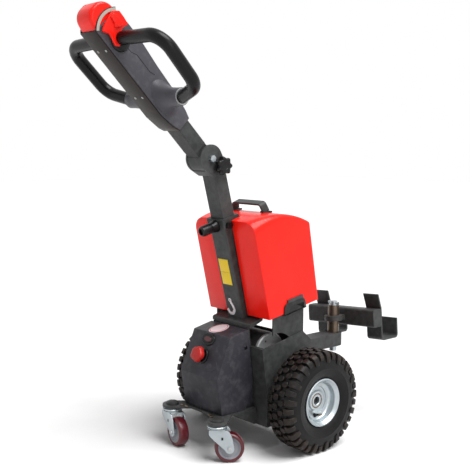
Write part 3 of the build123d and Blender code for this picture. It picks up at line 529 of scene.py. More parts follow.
def arc_through(first, second, third, steps=12):
    """Points from the first point through the second to the third, on one circle."""
    (ax, ay), (bx, by), (cx, cy) = first, second, third
    d = 2 * (ax * (by - cy) + bx * (cy - ay) + cx * (ay - by))
    a, b, c = ax * ax + ay * ay, bx * bx + by * by, cx * cx + cy * cy
    ux = (a * (by - cy) + b * (cy - ay) + c * (ay - by)) / d
    uy = (a * (cx - bx) + b * (ax - cx) + c * (bx - ax)) / d
    start, stop = (math.degrees(math.atan2(y - uy, x - ux)) for x, y in (first, third))
    if abs(stop - start) > 180:
        stop += 360 if stop < start else -360
    return arc_points((ux, uy), math.hypot(ax - ux, ay - uy), start, stop, steps)


def rounded_path(corners, radius, step=7.5):
    """Points along straight runs joined by arcs."""
    points = [Vector(corners[0])]
    for before, corner, after in zip(corners, corners[1:], corners[2:]):
        corner = Vector(corner)
        one, two = (Vector(before) - corner).normalized(), (Vector(after) - corner).normalized()
        half = one.angle(two) / 2
        start = corner + one * radius / math.tan(half)
        middle = corner + (one + two).normalized() * radius / math.sin(half)
        arm = start - middle
        sweep = math.pi - 2 * half
        hand = 1 if (-one).cross(two) > 0 else -1
        count = max(2, round(math.degrees(sweep) / step))
        points += [middle + Matrix.Rotation(hand * sweep * k / count, 2) @ arm for k in range(count + 1)]
    return points + [Vector(corners[-1])]


def strip_outline(path, width):
    """Outline of a flat strip of the given width along a path."""
    left, right = [], []
    for k, point in enumerate(path):
        ahead = (path[min(k + 1, len(path) - 1)] - path[max(k - 1, 0)]).normalized()
        side = Vector((-ahead.y, ahead.x)) * width / 2
        left.append(tuple(point + side))
        right.append(tuple(point - side))
    return left + right[::-1]


# Geometry nodes: a shape copied in turns about the local z axis
def build_turned_copies():
    tree, inside, outside = new_group(
        "turned copies",
        (("Shape", "NodeSocketObject", None), ("Count", "NodeSocketInt", 12), ("Start Angle", FLOAT, 0.0),
         ("Finish", "NodeSocketMaterial", None)),
        (("Geometry", "NodeSocketGeometry"),), "GeometryNodeTree")
    points, info, index, turn, copies, real, finish = (tree.nodes.new(kind) for kind in (
        "GeometryNodePoints", "GeometryNodeObjectInfo", "GeometryNodeInputIndex", "ShaderNodeCombineXYZ",
        "GeometryNodeInstanceOnPoints", "GeometryNodeRealizeInstances", "GeometryNodeSetMaterial"))
    given = inside.outputs
    step = maths(tree, "DIVIDE", 2 * math.pi, given["Count"])
    angle = maths(tree, "MULTIPLY_ADD", index.outputs["Index"], step, given["Start Angle"])
    for source, socket in (
            (given["Count"], points.inputs["Count"]), (given["Shape"], info.inputs["Object"]),
            (angle, turn.inputs["Z"]), (points.outputs["Geometry"], copies.inputs["Points"]),
            (info.outputs["Geometry"], copies.inputs["Instance"]),
            (turn.outputs["Vector"], copies.inputs["Rotation"]),
            (copies.outputs["Instances"], real.inputs["Geometry"]),
            (real.outputs["Geometry"], finish.inputs["Geometry"]),
            (given["Finish"], finish.inputs["Material"]),
            (finish.outputs["Geometry"], outside.inputs["Geometry"])):
        tree.links.new(source, socket)
    return tree


TURNED_COPIES = build_turned_copies()


def holder_of(shape, name):
    """Scene object that carries a shape while a modifier works on it."""
    mesh = bpy.data.meshes.new(name)
    shape.to_mesh(mesh)
    holder = bpy.data.objects.new(name, mesh)
    scene.collection.objects.link(holder)
    return holder


def evaluated_shape(holder):
    """Plain shape of a holder with its modifiers carried out."""
    mesh = bpy.data.meshes.new_from_object(holder.evaluated_get(bpy.context.evaluated_depsgraph_get()))
    holder.modifiers.clear()
    shape = bmesh.new()
    shape.from_mesh(mesh)
    bpy.data.meshes.remove(mesh)
    return shape


def remove_holders(*holders):
    for mesh in [holder.data for holder in holders]:
        bpy.data.meshes.remove(mesh)


def turned_copies(shape, count, finish, start=0.0):
    """The shape repeated round the local z axis, starting at an angle in degrees."""
    source, host = holder_of(shape, "source"), holder_of(bmesh.new(), "host")
    modifier = host.modifiers.new("copies", "NODES")
    modifier.node_group = TURNED_COPIES
    sockets = {item.name: item.identifier for item in TURNED_COPIES.interface.items_tree}
    for label, value in (("Shape", source), ("Count", count), ("Start Angle", math.radians(start)),
                         ("Finish", MATERIALS[finish])):
        modifier[sockets[label]] = value
    result = evaluated_shape(host)
    remove_holders(source, host)
    return result


def cut_away(shape, tool):
    """The shape less the tool, both already in place."""
    body, cutter = holder_of(shape, "body"), holder_of(tool, "cutter")
    modifier = body.modifiers.new("cut", "BOOLEAN")
    modifier.operation, modifier.object, modifier.solver = "DIFFERENCE", cutter, "EXACT"
    result = evaluated_shape(body)
    remove_holders(body, cutter)
    return result


def piece(name, body, finish, shapes, replaces=(), slot=None, smooth=32):
    """One visible piece, from shapes each given with its placement."""
    joined = bmesh.new()
    for shape, place in shapes:
        part = bpy.data.meshes.new("part")
        bmesh.ops.transform(shape, matrix=place, verts=shape.verts[:])
        shape.to_mesh(part)
        joined.from_mesh(part)
        bpy.data.meshes.remove(part)
    for face in joined.faces:
        face.material_index = 0
    bmesh.ops.recalc_face_normals(joined, faces=joined.faces[:])
    mesh = bpy.data.meshes.new(name)
    joined.to_mesh(mesh)
    mesh.materials.clear()
    mesh.materials.append(MATERIALS[finish])
    mesh.shade_smooth()
    mesh.set_sharp_from_angle(angle=math.radians(smooth))
    obj = bpy.data.objects.new(name, mesh)
    scene.collection.objects.link(obj)
    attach(obj, body)
    if replaces:
        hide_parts(*replaces)
    slot = slot or finish


# Drive wheels. Columns of a section: distance outboard of the wheel's middle plane, radius
LUG_COUNT = 34
LUG_PITCH = 360 / LUG_COUNT
CARCASS_HALF = (
    (30.6, 55.4), (31.2, 63.2), (33.4, 66), (36.4, 71), (39.4, 78), (41.2, 86), (41.6, 88), (42.3, 89.5),
    (42.3, 91.5), (41.7, 93), (41.6, 100), (40.2, 108), (37.6, 115), (34.6, 120.5), (31, 124), (20, 125.6),
)
CARCASS = CARCASS_HALF + tuple((-z, r) for z, r in reversed(CARCASS_HALF))
# Columns of a lug: distance from the middle plane, top, foot, half width
LONG_LUG = (
    (21, 132.2, 124, 6.2), (24.5, 132.3, 124, 8.4), (33, 131.2, 121, 8.4), (38.6, 126.6, 113, 7.6),
    (41.8, 117.5, 108, 6.6), (42.3, 111, 105, 6.2),
)
SHORT_LUG = (
    (19.8, 132.2, 124, 8.2), (27, 132.3, 124, 8.6), (31, 131.6, 122, 7), (35.6, 129.4, 116, 6.6),
    (40.2, 121.5, 112, 6.2),
)
CENTRE_LUG = (
    (1.4, 132.3, 124, 3.4), (4.6, 132.3, 124, 7.2), (14.6, 132.3, 124, 7.4), (18.6, 132.2, 124, 3.8),
)
RIM_BACK = (
    (-30, 10.3), (-30, 22), (0, 22), (1.5, 28), (2, 36), (4, 41), (7, 46.5), (8, 51.4), (-28, 51.6),
)
RIM_BEAD_SEAT = (
    (-32, 55.6), (-34.8, 58), (-35.2, 60.6), (-34, 62.3), (-31.4, 62.3), (-31, 54.7), (31, 54.7),
    (31.4, 62), (33, 62.7), (35, 62.4), (35.9, 60.9), (35.3, 59), (33.4, 57.6),
)
RIM_DISH = (
    (30.6, 54), (28, 51.8), (15, 50.6), (12.4, 49.2), (10.6, 46.5), (9.4, 42), (9, 38.4), (6.6, 37.2),
    (6, 34), (6.2, 29), (7.4, 26.6), (11.4, 25.6), (12.8, 24.6), (13, 20.2), (11.6, 19.6), (11.4, 15.6),
    (12.4, 15.2), (12.6, 11.2), (11.6, 10.3),
)
VALVE_STEM = ((-3, 0), (-3, 5.6), (2, 5.4), (5, 3.4), (17, 3.0), (17.4, 0))
VALVE_CAP = ((17, 0), (17, 3.3), (24, 3.1), (25, 2), (25, 0))
VALVE_OUT, VALVE_FORWARD, VALVE_DOWN, VALVE_TILT = 8.6, 3, 39, 0.35


def lug_ring(stations, hand, bevel, count, start):
    """Equal lugs round one half of the tread: hand 1 is the outboard half, -1 the inboard one."""
    lug = block([(hand * z, top, foot, half) for z, top, foot, half in stations])
    return turned_copies(soften(lug, bevel, 1), count, "tread", start)


def add_drive_wheel(name, side):
    body = f"wheel_{name}"
    wheel = spot((side * TRACK / 2, 0, AXLE_HEIGHT), Y_AXIS, side * X_AXIS)
    tread = []
    for hand in (1, -1):
        tread.append(lug_ring(LONG_LUG, hand, 0.9, LUG_COUNT // 2, 0))
        tread.append(lug_ring(SHORT_LUG, hand, 0.9, LUG_COUNT // 2, LUG_PITCH))
        tread.append(lug_ring(CENTRE_LUG, hand, 0.8, LUG_COUNT, hand * LUG_PITCH / 4))
    piece(f"tyre_body_{name}", body, "tyre", [(lathe(CARCASS, 136, closed=True), wheel)],
          (f"tyre_{name}",), smooth=28)
    piece(f"tyre_lugs_{name}", body, "tread", [(ring, wheel) for ring in tread], slot="tyre", smooth=28)
    piece(f"wheel_disc_{name}", body, "wheel_metal",
          [(lathe(RIM_BACK + RIM_BEAD_SEAT + RIM_DISH, 96, closed=True), wheel)], (f"rim_{name}",))
    piece(f"wheel_bearing_{name}", body, "steel",
          [(washer(15.2, 11, 10.4, 12.0), wheel), (washer(19.4, 16.4, 10.6, 12.1), wheel)])
    valve = spot((side * (TRACK / 2 + VALVE_OUT), -VALVE_FORWARD, AXLE_HEIGHT - VALVE_DOWN),
                 Y_AXIS, (side, 0, VALVE_TILT))
    piece(f"valve_{name}", body, "black_plastic", [(lathe(VALVE_STEM, 32), valve)])
    piece(f"valve_cap_{name}", body, "steel", [(lathe(VALVE_CAP, 24), valve)])


for side_name, side in SIDES:
    add_drive_wheel(side_name, side)

# Black discs inside the hub bores: painted shade, standing in for the dark of the recessed axle ends
piece("axle_end_plugs", "chassis", "black_plastic",
      [(disc(9.8, 4.2, 5.2, 0.3), spot((side * TRACK / 2, 0, AXLE_HEIGHT), Y_AXIS, side * X_AXIS))
       for side_name, side in SIDES])

# Casters, at the swivel angles that they have at rest
KING_X, KING_Y = 92.3, -244.9
TRAIL, ROLLER_RADIUS = 31, 37.5
LEG_INNER, LEG_SHEET, SLOT_HEIGHT, FORK_CROWN = 17.2, 2.8, 64, (82.6, 85.8)
SWIVEL = {"right": 50.7, "left": -8.0}
LEG_END = arc_points((TRAIL, ROLLER_RADIUS), 11.6, 0, -165, 11)
LEG_OUTLINE = [(-21, 85.6), (25, 85.6), (30, 82), (35, 73), (38.5, 62), (42.4, 40)] + LEG_END + [
    (-6, 58), (-18, 70), (-21, 76)]
RACE_SECTION = (
    (85.4, 0), (85.4, 24.4), (86.2, 25), (87.6, 24.8), (88.2, 22.8), (89.4, 22.6), (89.9, 24.6), (90.8, 25.6),
    (93, 25.7), (94, 24.8), (94.3, 22), (95.6, 20.6), (97.4, 20), (97.6, 0),
)
ROLLER_TREAD = (
    (-13.9, 28.4), (13.9, 28.4), (14, 32.6), (12.6, 35.2), (10, 36.7), (5.6, 37.4), (0, 37.5),
    (-5.6, 37.4), (-10, 36.7), (-12.6, 35.2), (-14, 32.6),
)
ROLLER_HUB = (
    (-15.4, 4.1), (-15.4, 8.6), (-14, 9.4), (-10, 10), (-9.4, 11), (-9.4, 22.6), (-12.6, 26), (-13.2, 28.2),
    (13.2, 28.2), (12.6, 26), (9.4, 22.6), (9.4, 11), (10, 10), (14, 9.4), (15.4, 8.6), (15.4, 4.1),
)
KING_CAP = (
    (PLATE_TOP, 0), (PLATE_TOP, 17), (107, 17), (109.6, 15.4), (111.2, 12), (111.8, 6), (112, 0))


def add_caster(name, side):
    turn = math.radians(SWIVEL[name])
    along, across = Vector((math.cos(turn), math.sin(turn), 0)), Vector((-math.sin(turn), math.cos(turn), 0))
    king = Vector((side * KING_X, KING_Y, 0))
    axle = king + along * TRAIL + Z_AXIS * ROLLER_RADIUS
    upright, hub = spot(king, along, Z_AXIS), spot(axle, along, across)
    leg_outer = LEG_INNER + LEG_SHEET
    fork = [(lathe(RACE_SECTION, 56), upright),
            (prism(rectangle(-20, -19.4, 25, 19.4), *FORK_CROWN, 1.2), upright)]
    bolts, slot_hole_shades = [], []
    for hand in (1, -1):
        leg = spot(king + across * hand * LEG_INNER, along, -across)
        fork.append((prism(LEG_OUTLINE, *outboard(-hand, 0, LEG_SHEET), 0.9), leg))
        bolt = spot(axle + across * hand * leg_outer, along, across * hand)
        bolts += [(hex_head(6.4, 0, 3.6), bolt), (disc(3.8, 3.4, 5, 0.6, 24), bolt)]
        # Thin black patch where the leg has a slot hole: painted shade of the hole
        slot = spot(king + across * hand * leg_outer + Z_AXIS * SLOT_HEIGHT, along, across * hand)
        slot_hole_shades.append((prism(rectangle(10, -3, 15, 4), 0, 0.25), slot))
    bolts.append((disc(3.9, -LEG_INNER + 0.2, LEG_INNER - 0.2, 0.2, 24), hub))
    piece(f"fork_{name}", f"caster_{name}", "wheel_metal", fork, (f"caster_fork_{name}",))
    piece(f"fork_bolts_{name}", f"caster_{name}", "bare_metal", bolts)
    piece(f"fork_slots_{name}", f"caster_{name}", "black_plastic", slot_hole_shades)
    piece(f"roller_tread_{name}", f"caster_wheel_{name}", "tread_maroon",
          [(lathe(ROLLER_TREAD, 96, closed=True), hub)], (f"caster_tread_{name}",))
    piece(f"roller_hub_{name}", f"caster_wheel_{name}", "hub_plastic",
          [(lathe(ROLLER_HUB, 96, closed=True), hub)], (f"caster_hub_{name}",))
    piece(f"king_cap_{name}", "chassis", "dark_coat",
          [(lathe(KING_CAP, 48), upright), (hex_head(7, 106, 111.9), upright)], (f"king_bolt_{name}",))


for side_name, side in SIDES:
    add_caster(side_name, side)

# Drive cover: a faceted shell, cut away low at the rear of each flank. Points: Y, height
COVER_HALF = 74.3
FOLD, CREST, REAR = (-231.2, 198.6), (-186.5, 303.1), (-125.5, 316)
COVER_SIDE = ((-214, PLATE_TOP), FOLD, CREST, REAR, (-118.4, 269), (-106, 172.6), (-134, PLATE_TOP))
COVER_INSET = ((-150, PLATE_TOP), (-125, 200), (-102.5, 172.6), (-97.6, 133), (-99, PLATE_TOP))
INSET_DEPTH = 9
side_plane = spot((0, 0, 0), Y_AXIS, X_AXIS)
piece("cover_shell", "chassis", "cover_plastic", [
    (prism(COVER_SIDE, -COVER_HALF, COVER_HALF, 2.2, 3), side_plane),
    (prism(COVER_INSET, INSET_DEPTH - COVER_HALF, COVER_HALF - INSET_DEPTH, 2), side_plane),
], ("drive_cover",))


def facet(low, high, middle):
    """Sketch plane on the cover's facet between two side points; local y runs up or back along it."""
    rise = (Vector((0, *high)) - Vector((0, *low))).normalized()
    return spot(middle, X_AXIS, Vector((0, -rise.z, rise.y)))


front_face = facet(FOLD, CREST, (Vector((0, *FOLD)) + Vector((0, *CREST))) / 2)
top_face = facet(CREST, REAR, Vector((0, *CREST)))

# Dimple, gauge, turn knob, oval sign and screws on the cover
GAUGE, DIMPLE, KNOB, SIGN = (-2.5, 39), (34, -24), (-6, -6), (-7, 31)
KNOB_BASE = ((0, 0), (0, 21), (3, 21), (5, 19), (5, 13.6), (14, 13.6), (14, 0))
# Columns: height, share of the full width
KNOB_LEVELS = ((12, 0.86), (14, 1.0), (19, 1.03), (24, 0.99), (27, 0.9), (28.4, 0.74), (28.8, 0.5))
SIGN_OVAL = 29 / 24
piece("cover_dimple", "chassis", "cover_plastic", [
    (oval(23, 16.5, -0.4, 0.7, 0.6, middle=DIMPLE), front_face)])
piece("gauge_bezel", "chassis", "black_plastic", [
    (oval(24.5, 16.5, 0, 3.6, 1.6, middle=GAUGE), front_face),
    (oval(18, 10.5, 3.2, 5, 1.2, middle=GAUGE), front_face)])
piece("gauge_window", "chassis", "gauge_red", [(oval(13.5, 6.6, 4.8, 5.5, 0.4, middle=GAUGE), front_face)])
piece("knob_base", "chassis", "black_plastic", [
    (lathe(KNOB_BASE, 56, middle=KNOB), front_face)], ("stop_knob",))
knob_skin = [lobed(19.4, 1.1, 5, 80, height, scale, KNOB) for height, scale in KNOB_LEVELS]
knob_ridge = rectangle(KNOB[0] - 2.6, KNOB[1] - 13, KNOB[0] + 2.6, KNOB[1] + 13)
piece("stop_button", "chassis", "knob_red", [
    (rings([[(*KNOB, 12)]] + knob_skin + [[(*KNOB, 28.9)]]), front_face),
    (prism(knob_ridge, 24, 29, 1.2), front_face)])
piece("cover_sign", "chassis", "sign_white", [(oval(24, 29, -0.2, 0.5, 0.1, middle=SIGN), top_face)])
sign_ring = [circle(radius, height, 72, SIGN, SIGN_OVAL) for height, radius in (
    (0.2, 21.8), (0.2, 20.4), (0.75, 20.4), (0.75, 21.8))]
piece("cover_sign_ring", "chassis", "sign_red", [(rings(sign_ring, closed=True), top_face)])
FLANK_SCREW = (-134.5, 269.4)
cover_screws = []
for side_name, side in SIDES:
    flank_screw = spot((side * COVER_HALF, *FLANK_SCREW), Y_AXIS, side * X_AXIS)
    cover_screws += [(washer(5.4, 2.6, -0.2, 1.0), flank_screw), (hex_head(2.7, -0.2, 0.5), flank_screw)]
piece("cover_screws", "chassis", "black_plastic", cover_screws)
plate_top = spot((0, 0, PLATE_TOP), X_AXIS, Z_AXIS)
BASE_BOLTS = ((62, -236), (48, -232))
piece("base_bolts", "chassis", "steel", [
    (hex_head(4.6, 0, 3.4, (side * x, y)), plate_top) for side_name, side in SIDES for x, y in BASE_BOLTS])

# Motor end
MOTOR_BELL = (
    (0, 0), (0, 49), (5.6, 49), (7.4, 47.6), (8, 45.4), (7.2, 44), (7.2, 20), (7.8, 18.6), (7.9, 10),
    (6.6, 9), (6.6, 0),
)
MOTOR_CENTRE = (74, -54, 249)
motor = spot(MOTOR_CENTRE, Y_AXIS, X_AXIS)
piece("motor_bell", "chassis", "bare_metal", [(lathe(MOTOR_BELL, 96), motor)], ("motor_end",))
piece("motor_screws", "chassis", "steel", [
    (turned_copies(disc(3.0, 7.0, 8.0, 0.4, 20, (33, 0)), 4, "steel", 30), motor)])

# Battery case: its sides lean forward towards the crowned top, and the shoulders sharpen to the rear
CASE_HALF, CASE_DEPTH, CASE_FLARE = 119, 183, 13
CASE_FRONT, CASE_PEAK, CROWN_RADIUS = 260, 264.8, 252
REAR_SHOULDER, SHOULDER_GROWTH = 6, 28
CASE_STEPS, SHOULDER_STEPS = 24, 10
NOTCH_WIDTH, NOTCH_DEPTH, NOTCH_BACK, NOTCH_LOW, NOTCH_TOP = 69, 100, 33, -50, 450
crown_drop = CROWN_RADIUS - CASE_PEAK + CASE_FRONT
crown_middle = math.sqrt(CROWN_RADIUS ** 2 - crown_drop ** 2) - CASE_FLARE


def case_section(share):
    """Loop round the case at a share of its depth, as points with x, distance back and height."""
    foot_y = share * CASE_DEPTH
    top_y = share * (CASE_DEPTH + CASE_FLARE) - CASE_FLARE
    top = CASE_PEAK - CROWN_RADIUS + math.sqrt(CROWN_RADIUS ** 2 - (top_y - crown_middle) ** 2)
    shoulder = REAR_SHOULDER + SHOULDER_GROWTH * (1 - share) ** 1.5
    half = [(CASE_HALF - 0.6, 0), (CASE_HALF, 1.2), (CASE_HALF, 60), (CASE_HALF, 130)]
    half += arc_points((CASE_HALF - shoulder, top - shoulder), shoulder, 0, 90, SHOULDER_STEPS)
    half += [(60, top + 0.3), (30, top + 0.6)]
    loop = half + [(-x, z) for x, z in reversed(half)]
    return [(x, foot_y + (top_y - foot_y) * z / top, z) for x, z in loop]


def battery_form():
    """The case, already in place, with a notch for the mast cut from its front."""
    case = soften(rings([case_section(k / CASE_STEPS) for k in range(CASE_STEPS + 1)]), 5, 3, 50)
    bmesh.ops.transform(case, matrix=spot(CASE_FOOT, X_AXIS, CASE_AXIS), verts=case.verts[:])
    notch_outline = rectangle(-NOTCH_WIDTH / 2, NOTCH_BACK - NOTCH_DEPTH, NOTCH_WIDTH / 2, NOTCH_BACK)
    notch = prism(notch_outline, NOTCH_LOW, NOTCH_TOP)
    bmesh.ops.transform(notch, matrix=spot(MAST_FOOT, X_AXIS, MAST_AXIS), verts=notch.verts[:])
    return cut_away(case, notch)


piece("battery_shell", "chassis", "red_plastic",
      [(battery_form(), Matrix.Identity(4))], ("battery_case",), smooth=40)

# Tray under the battery, with a round-cornered tab up each side. Points: distance back, height
TRAY_LOW, TRAY_TOP = -4.3, -0.4
TAB = (
    (50, 0.4), (54, 18), (58.5, 23.5), (66, 26.6), (116, 27), (124, 25), (129, 20), (131.5, 12),
    (131.5, -4.2), (50, -4.2),
)
tray_plane = spot(CASE_FOOT, CASE_BACK, X_AXIS)
tray_layers = (
    (rectangle(18, TRAY_LOW, 132, TRAY_TOP), 46, 112.6, 0.6), (TAB, 119.3, 123.3, 0.9),
    (rectangle(50, TRAY_LOW, 131.5, TRAY_TOP), 110, 123.3, 0.6),
)
piece("tray_tabs", "chassis", "dark_coat", [
    (prism(outline, *outboard(side, inner, outer), bevel), tray_plane)
    for outline, inner, outer, bevel in tray_layers for side_name, side in SIDES])

# Plain yellow plates and a hook mark on the mast's front face
mast_face = spot(MAST_FOOT - MAST_BACK * MAST_HALF, X_AXIS, -MAST_BACK)
PLATE_LEFT, PLATE_RIGHT = -22, 15
HOOK_CORNERS = ((-7, 44), (-1, 34), (3, 22), (-5, 10.5), (-17, 10.5), (-24, 22))
HOOK_EYE = (-8.5, 48.5)
piece("mast_sign", "chassis", "sign_yellow", [
    (prism(rectangle(PLATE_LEFT, low, PLATE_RIGHT, high), -0.1, 0.45, 0.15), mast_face)
    for low, high in ((129.2, 165), (94, 128.6))])
piece("mast_hook_mark", "chassis", "sign_white", [
    (prism(strip_outline(rounded_path(HOOK_CORNERS, 6), 8), -0.1, 0.45, 0.1), mast_face),
    (washer(5.6, 2.2, -0.1, 0.45, 0.1, 32, HOOK_EYE), mast_face)])

# Index plunger with a ribbed barrel
PLUNGER_HEIGHT, PLUNGER_STAND = 258, 29
PLUNGER_SECTION = (
    (-0.2, 0), (-0.2, 16.8), (3, 16.6), (17, 12.8), (18.6, 12.9), (20, 13.4), (46, 13.4), (48.6, 12.4),
    (49.8, 10.6), (49.8, 8.6), (44, 8.2), (44, 0),
)
plunger = spot(MAST_FOOT + MAST_AXIS * PLUNGER_HEIGHT - MAST_BACK * PLUNGER_STAND, X_AXIS, -MAST_BACK)
plunger_rib = prism(((12.9, -0.7), (13.9, -0.35), (13.9, 0.35), (12.9, 0.7)), 22, 44)
piece("plunger_grip", "chassis", "black_plastic", [
    (lathe(PLUNGER_SECTION, 56), plunger),
    (turned_copies(plunger_rib, 28, "black_plastic"), plunger)], ("index_plunger",))

# Star knob beside the knuckle
STAR_LEVELS = ((5, 0.9), (7, 0.99), (10, 1.02), (18, 1.02), (21.6, 0.97), (23.4, 0.87), (23.9, 0.74))
STAR_STEPS = 84
STAR_OFFSET = Vector((30, 27.7, -17.7))
star = spot(KNUCKLE + STAR_OFFSET, Y_AXIS, X_AXIS)
star_skin = [[(0, 0, 0.1)], circle(9, 0.1, STAR_STEPS), circle(9.4, 4.6, STAR_STEPS)]
star_skin += [lobed(20.9, 2.6, 7, STAR_STEPS, height, scale) for height, scale in STAR_LEVELS]
star_skin += [circle(9, 23.9, STAR_STEPS), circle(8, 23.2, STAR_STEPS), [(0, 0, 23.4)]]
piece("star_handle", "mast_inner", "black_plastic", [(rings(star_skin), star)], ("star_knob",))

# Head. Points of an outline on its flank: height above the arm's axis, distance along it from the knuckle
HEAD_HALF, HEAD_END = 32, 434
HEAD_OUTLINE = (
    (-36.8, HEAD_END), (-36.8, 178), (-29, 136), (-22, 119), (18, 119), (24, 140), (32, 200), (35, 268),
    (42, 350), (41, 400), (36, HEAD_END),
)
BOSS_LEVEL, BOSS_ALONG, TOP_BOSS_ALONG = -3.8, 206.6, 376.6
BOSS_RADIUS, BOSS_SLIDE, BOSS_STEPS = 21, 0.12, 56
# Bell mouth that leads from the flank into the round boss. Columns: x, half height, half length, level
BOSS_STATIONS = (
    (28, 33, 52, -1.5), (32.2, 31.5, 50, -1.5), (34, 29.6, 47, -2), (38, 27, 42, -2.6), (45, 24.6, 35, -3.2),
    (56, 22.6, 28, -3.6), (70, 21.4, 23.6, -3.8), (86, 21, 21.6, -3.8), (100.6, 21, 21, -3.8),
    (102, 20.4, 20.4, -3.8),
)
BOSS_BORE = ((102, 16.6), (92, 16.4))
head_plane = spot(KNUCKLE, ARM_UP, X_AXIS)
boss_middle = (BOSS_LEVEL, BOSS_ALONG)


def bell_mouth(side):
    """Boss on one flank, open at its end for the grip."""
    turns = [2 * math.pi * k / BOSS_STEPS for k in range(BOSS_STEPS)]
    loops = []
    for x, wide, long, level in BOSS_STATIONS:
        middle = BOSS_ALONG - (long - BOSS_RADIUS) * BOSS_SLIDE
        loops.append([(level + wide * math.cos(a), middle + long * math.sin(a), side * x) for a in turns])
    loops += [circle(radius, side * x, BOSS_STEPS, boss_middle) for x, radius in BOSS_BORE]
    return rings(loops)


piece("head_shell", "tiller", "head_plastic", [
    (prism(HEAD_OUTLINE, -HEAD_HALF, HEAD_HALF, 2.6, 3), head_plane)
] + [(bell_mouth(side), head_plane) for side_name, side in SIDES], ("head_housing",))
piece("grip_collars", "tiller", "bare_metal", [
    (washer(19.4, 16.2, *outboard(side, 101.6, 102.6), 0.3, middle=boss_middle), head_plane)
    for side_name, side in SIDES])

# Loop grips. Corners: x, distance along the arm from the loop's own origin
GRIP_CORNERS = ((84, -43), (179, -9), (186, 137), (30, 141))
GRIP_BEND, GRIP_RADIUS, GRIP_ORIGIN = 42, 15.5, 242.6
grip_place = spot(KNUCKLE + ARM_UP * BOSS_LEVEL + ARM_AXIS * GRIP_ORIGIN, X_AXIS, -ARM_UP)
for side_name, side in SIDES:
    grip_path = [Vector((side * point.x, point.y)) for point in rounded_path(GRIP_CORNERS, GRIP_BEND, 6)]
    piece(f"loop_grip_{side_name}", "tiller", "grip_rubber",
          [(bent_tube(grip_path, GRIP_RADIUS, 40), grip_place)], (f"grip_{side_name}",))
GRIP_ROOT = ((30, 0), (30, 25.4), (33, 25.2), (36, 23.6), (38, 20), (38.4, 15), (38.4, 0))
piece("grip_roots", "tiller", "black_plastic", [
    (lathe([(side * x, r) for x, r in GRIP_ROOT], 56, middle=(BOSS_LEVEL, TOP_BOSS_ALONG)), head_plane)
    for side_name, side in SIDES])

# Strip under the head, its screws, and black strips along the flank grooves: painted shade of the grooves
STRIP_HALF, STRIP_LEVEL = 31, -39.7
STRIP_OUTLINE = (
    (STRIP_LEVEL, HEAD_END), (STRIP_LEVEL, 179), (-32, 135.6), (-25, 119.2), (-22.4, 119.2), (-29.2, 136.6),
    (-37, 179.4), (-37, HEAD_END),
)
STRIP_SCREWS = ((-16.5, 380), (16, 380), (-13.5, 240), (14.4, 240))
FLANK_GROOVE_SHADE_LINES = (((0.5, 352), (0.5, 341), (8.4, 325.5), (8.4, 275), (14, 262)), ((-21, 188), (-24, 168)))
strip_plane = spot(KNUCKLE + ARM_UP * STRIP_LEVEL, X_AXIS, -ARM_UP)
piece("head_belly_strip", "tiller", "strip_metal", [
    (prism(STRIP_OUTLINE, -STRIP_HALF, STRIP_HALF, 0.7), head_plane)], ("head_strip",))
piece("strip_screws", "tiller", "bare_metal", [
    (washer(3.1, 1.5, -0.2, 0.7, 0.3, 24, middle), strip_plane) for middle in STRIP_SCREWS])
# Thin black strips along the grooves: painted shade, standing in for cut grooves
piece("head_grooves", "tiller", "black_plastic", [
    (prism(strip_outline([Vector(point) for point in seam], 1.3), *outboard(side, 31.6, 32.25)), head_plane)
    for seam in FLANK_GROOVE_SHADE_LINES for side_name, side in SIDES])

# Belly switch cap, with the ring that runs round the head's end
CAP_HALF, CAP_FOOT, CAP_RIM_FROM = 31, 434.3, 436
CAP_OUTLINE = [(36, CAP_FOOT), (-36, CAP_FOOT)] + arc_through((-33, 450), (-25, 465), (-8, 473.4))
CAP_OUTLINE += arc_through((8, 473.8), (27, 463), (36, 444.3))
RING_MIDDLE, RING_FROM, RING_TO = (3, 395), 50, 136


def cap_rim(edge):
    """True for the cap's side edges away from its foot."""
    ends = [vert.co for vert in edge.verts]
    on_side = all(abs(abs(end.z) - CAP_HALF) < 0.1 for end in ends)
    return on_side and sum(end.y for end in ends) / 2 > CAP_RIM_FROM


def ring_part(inner, outer, low, high):
    """Part of a ring on each flank, between two radii and two distances from the middle."""
    outline = arc_points(RING_MIDDLE, outer, RING_FROM, RING_TO, 20)
    outline += arc_points(RING_MIDDLE, inner, RING_TO, RING_FROM, 20)
    return [(prism(outline, *outboard(side, low, high)), head_plane) for side_name, side in SIDES]


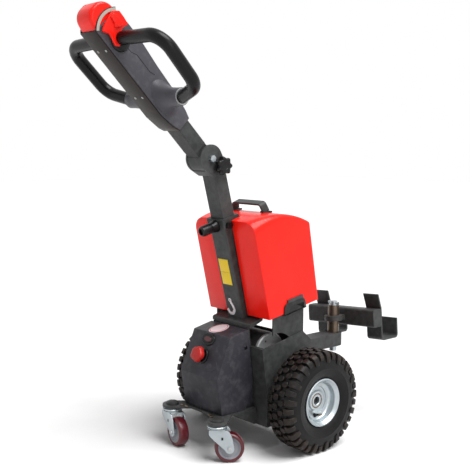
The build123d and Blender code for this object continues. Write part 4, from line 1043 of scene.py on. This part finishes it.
piece("belly_cap", "tiller", "red_plastic", [
    (soften(prism(CAP_OUTLINE, -CAP_HALF, CAP_HALF), 8, 5, 25, cap_rim), head_plane)], ("head_cap",))
piece("switch_ring", "tiller", "ring_grey", ring_part(47.5, 54.6, 30, 33.4))
# Black band just behind the grey ring, showing round its edges: painted shade of the gap between the ring and
# the head
piece("switch_ring_seam", "tiller", "black_plastic", ring_part(47, 56.2, 29, 32.5))

# Thumb paddles, each a blade with a fin outside it and a root inside it
PADDLE = (
    (-31.5, 426), (-20, 431.4), (-7.3, 435.2), (20.2, 440.5), (34.6, 428.9), (34, 410), (31.5, 392.3),
    (24, 394.8), (16.4, 396.2), (2.4, 393.7), (-8, 379.7), (-14, 375), (-21.5, 373.9), (-28, 382.3),
    (-23.6, 401.2), (-20.8, 414),
)
PADDLE_FIN = ((5, 436), (18.3, 437.5), (21, 414), (18.7, 401.4), (8, 404), (-2.3, 410.2), (4, 423))
PADDLE_ROOT = ((-26, 420), (-18, 430), (20, 437), (31, 427), (29, 398), (-12, 398))
PADDLE_LAYERS = ((PADDLE, 38.8, 45, 2.2), (PADDLE_FIN, 43, 49.6, 2.6), (PADDLE_ROOT, 31.8, 39.4, 0.6))
for side_name, side in SIDES:
    piece(f"thumb_paddle_{side_name}", "tiller", "red_plastic", [
        (prism(outline, *outboard(side, low, high), bevel, 3), head_plane)
        for outline, low, high, bevel in PADDLE_LAYERS], (f"paddle_{side_name}",))

# Floor, with its reach in metres
FLOOR_REACH = 14
FLOOR_PALE, FLOOR_DRIFT, FLOOR_DUST = (0.82, 0.82, 0.82, 1), (0.8, 0.8, 0.8, 1), (0.78, 0.77, 0.76, 1)
floor_mesh = bpy.data.meshes.new("floor")
floor_outline = rectangle(-FLOOR_REACH, -FLOOR_REACH, FLOOR_REACH, FLOOR_REACH)
floor_mesh.from_pydata([(x, y, 0) for x, y in floor_outline], [], [(0, 1, 2, 3)])
floor_mesh.materials.append(make_material(
    "floor", FLOOR_PALE, FLOOR_DRIFT, FLOOR_DUST, dust=0.05, roughness=0.55, spread=0.1, grain=0.2,
    grain_scale=300, height=0.0001, specular=0.15))
floor = bpy.data.objects.new("floor", floor_mesh)
scene.collection.objects.link(floor)
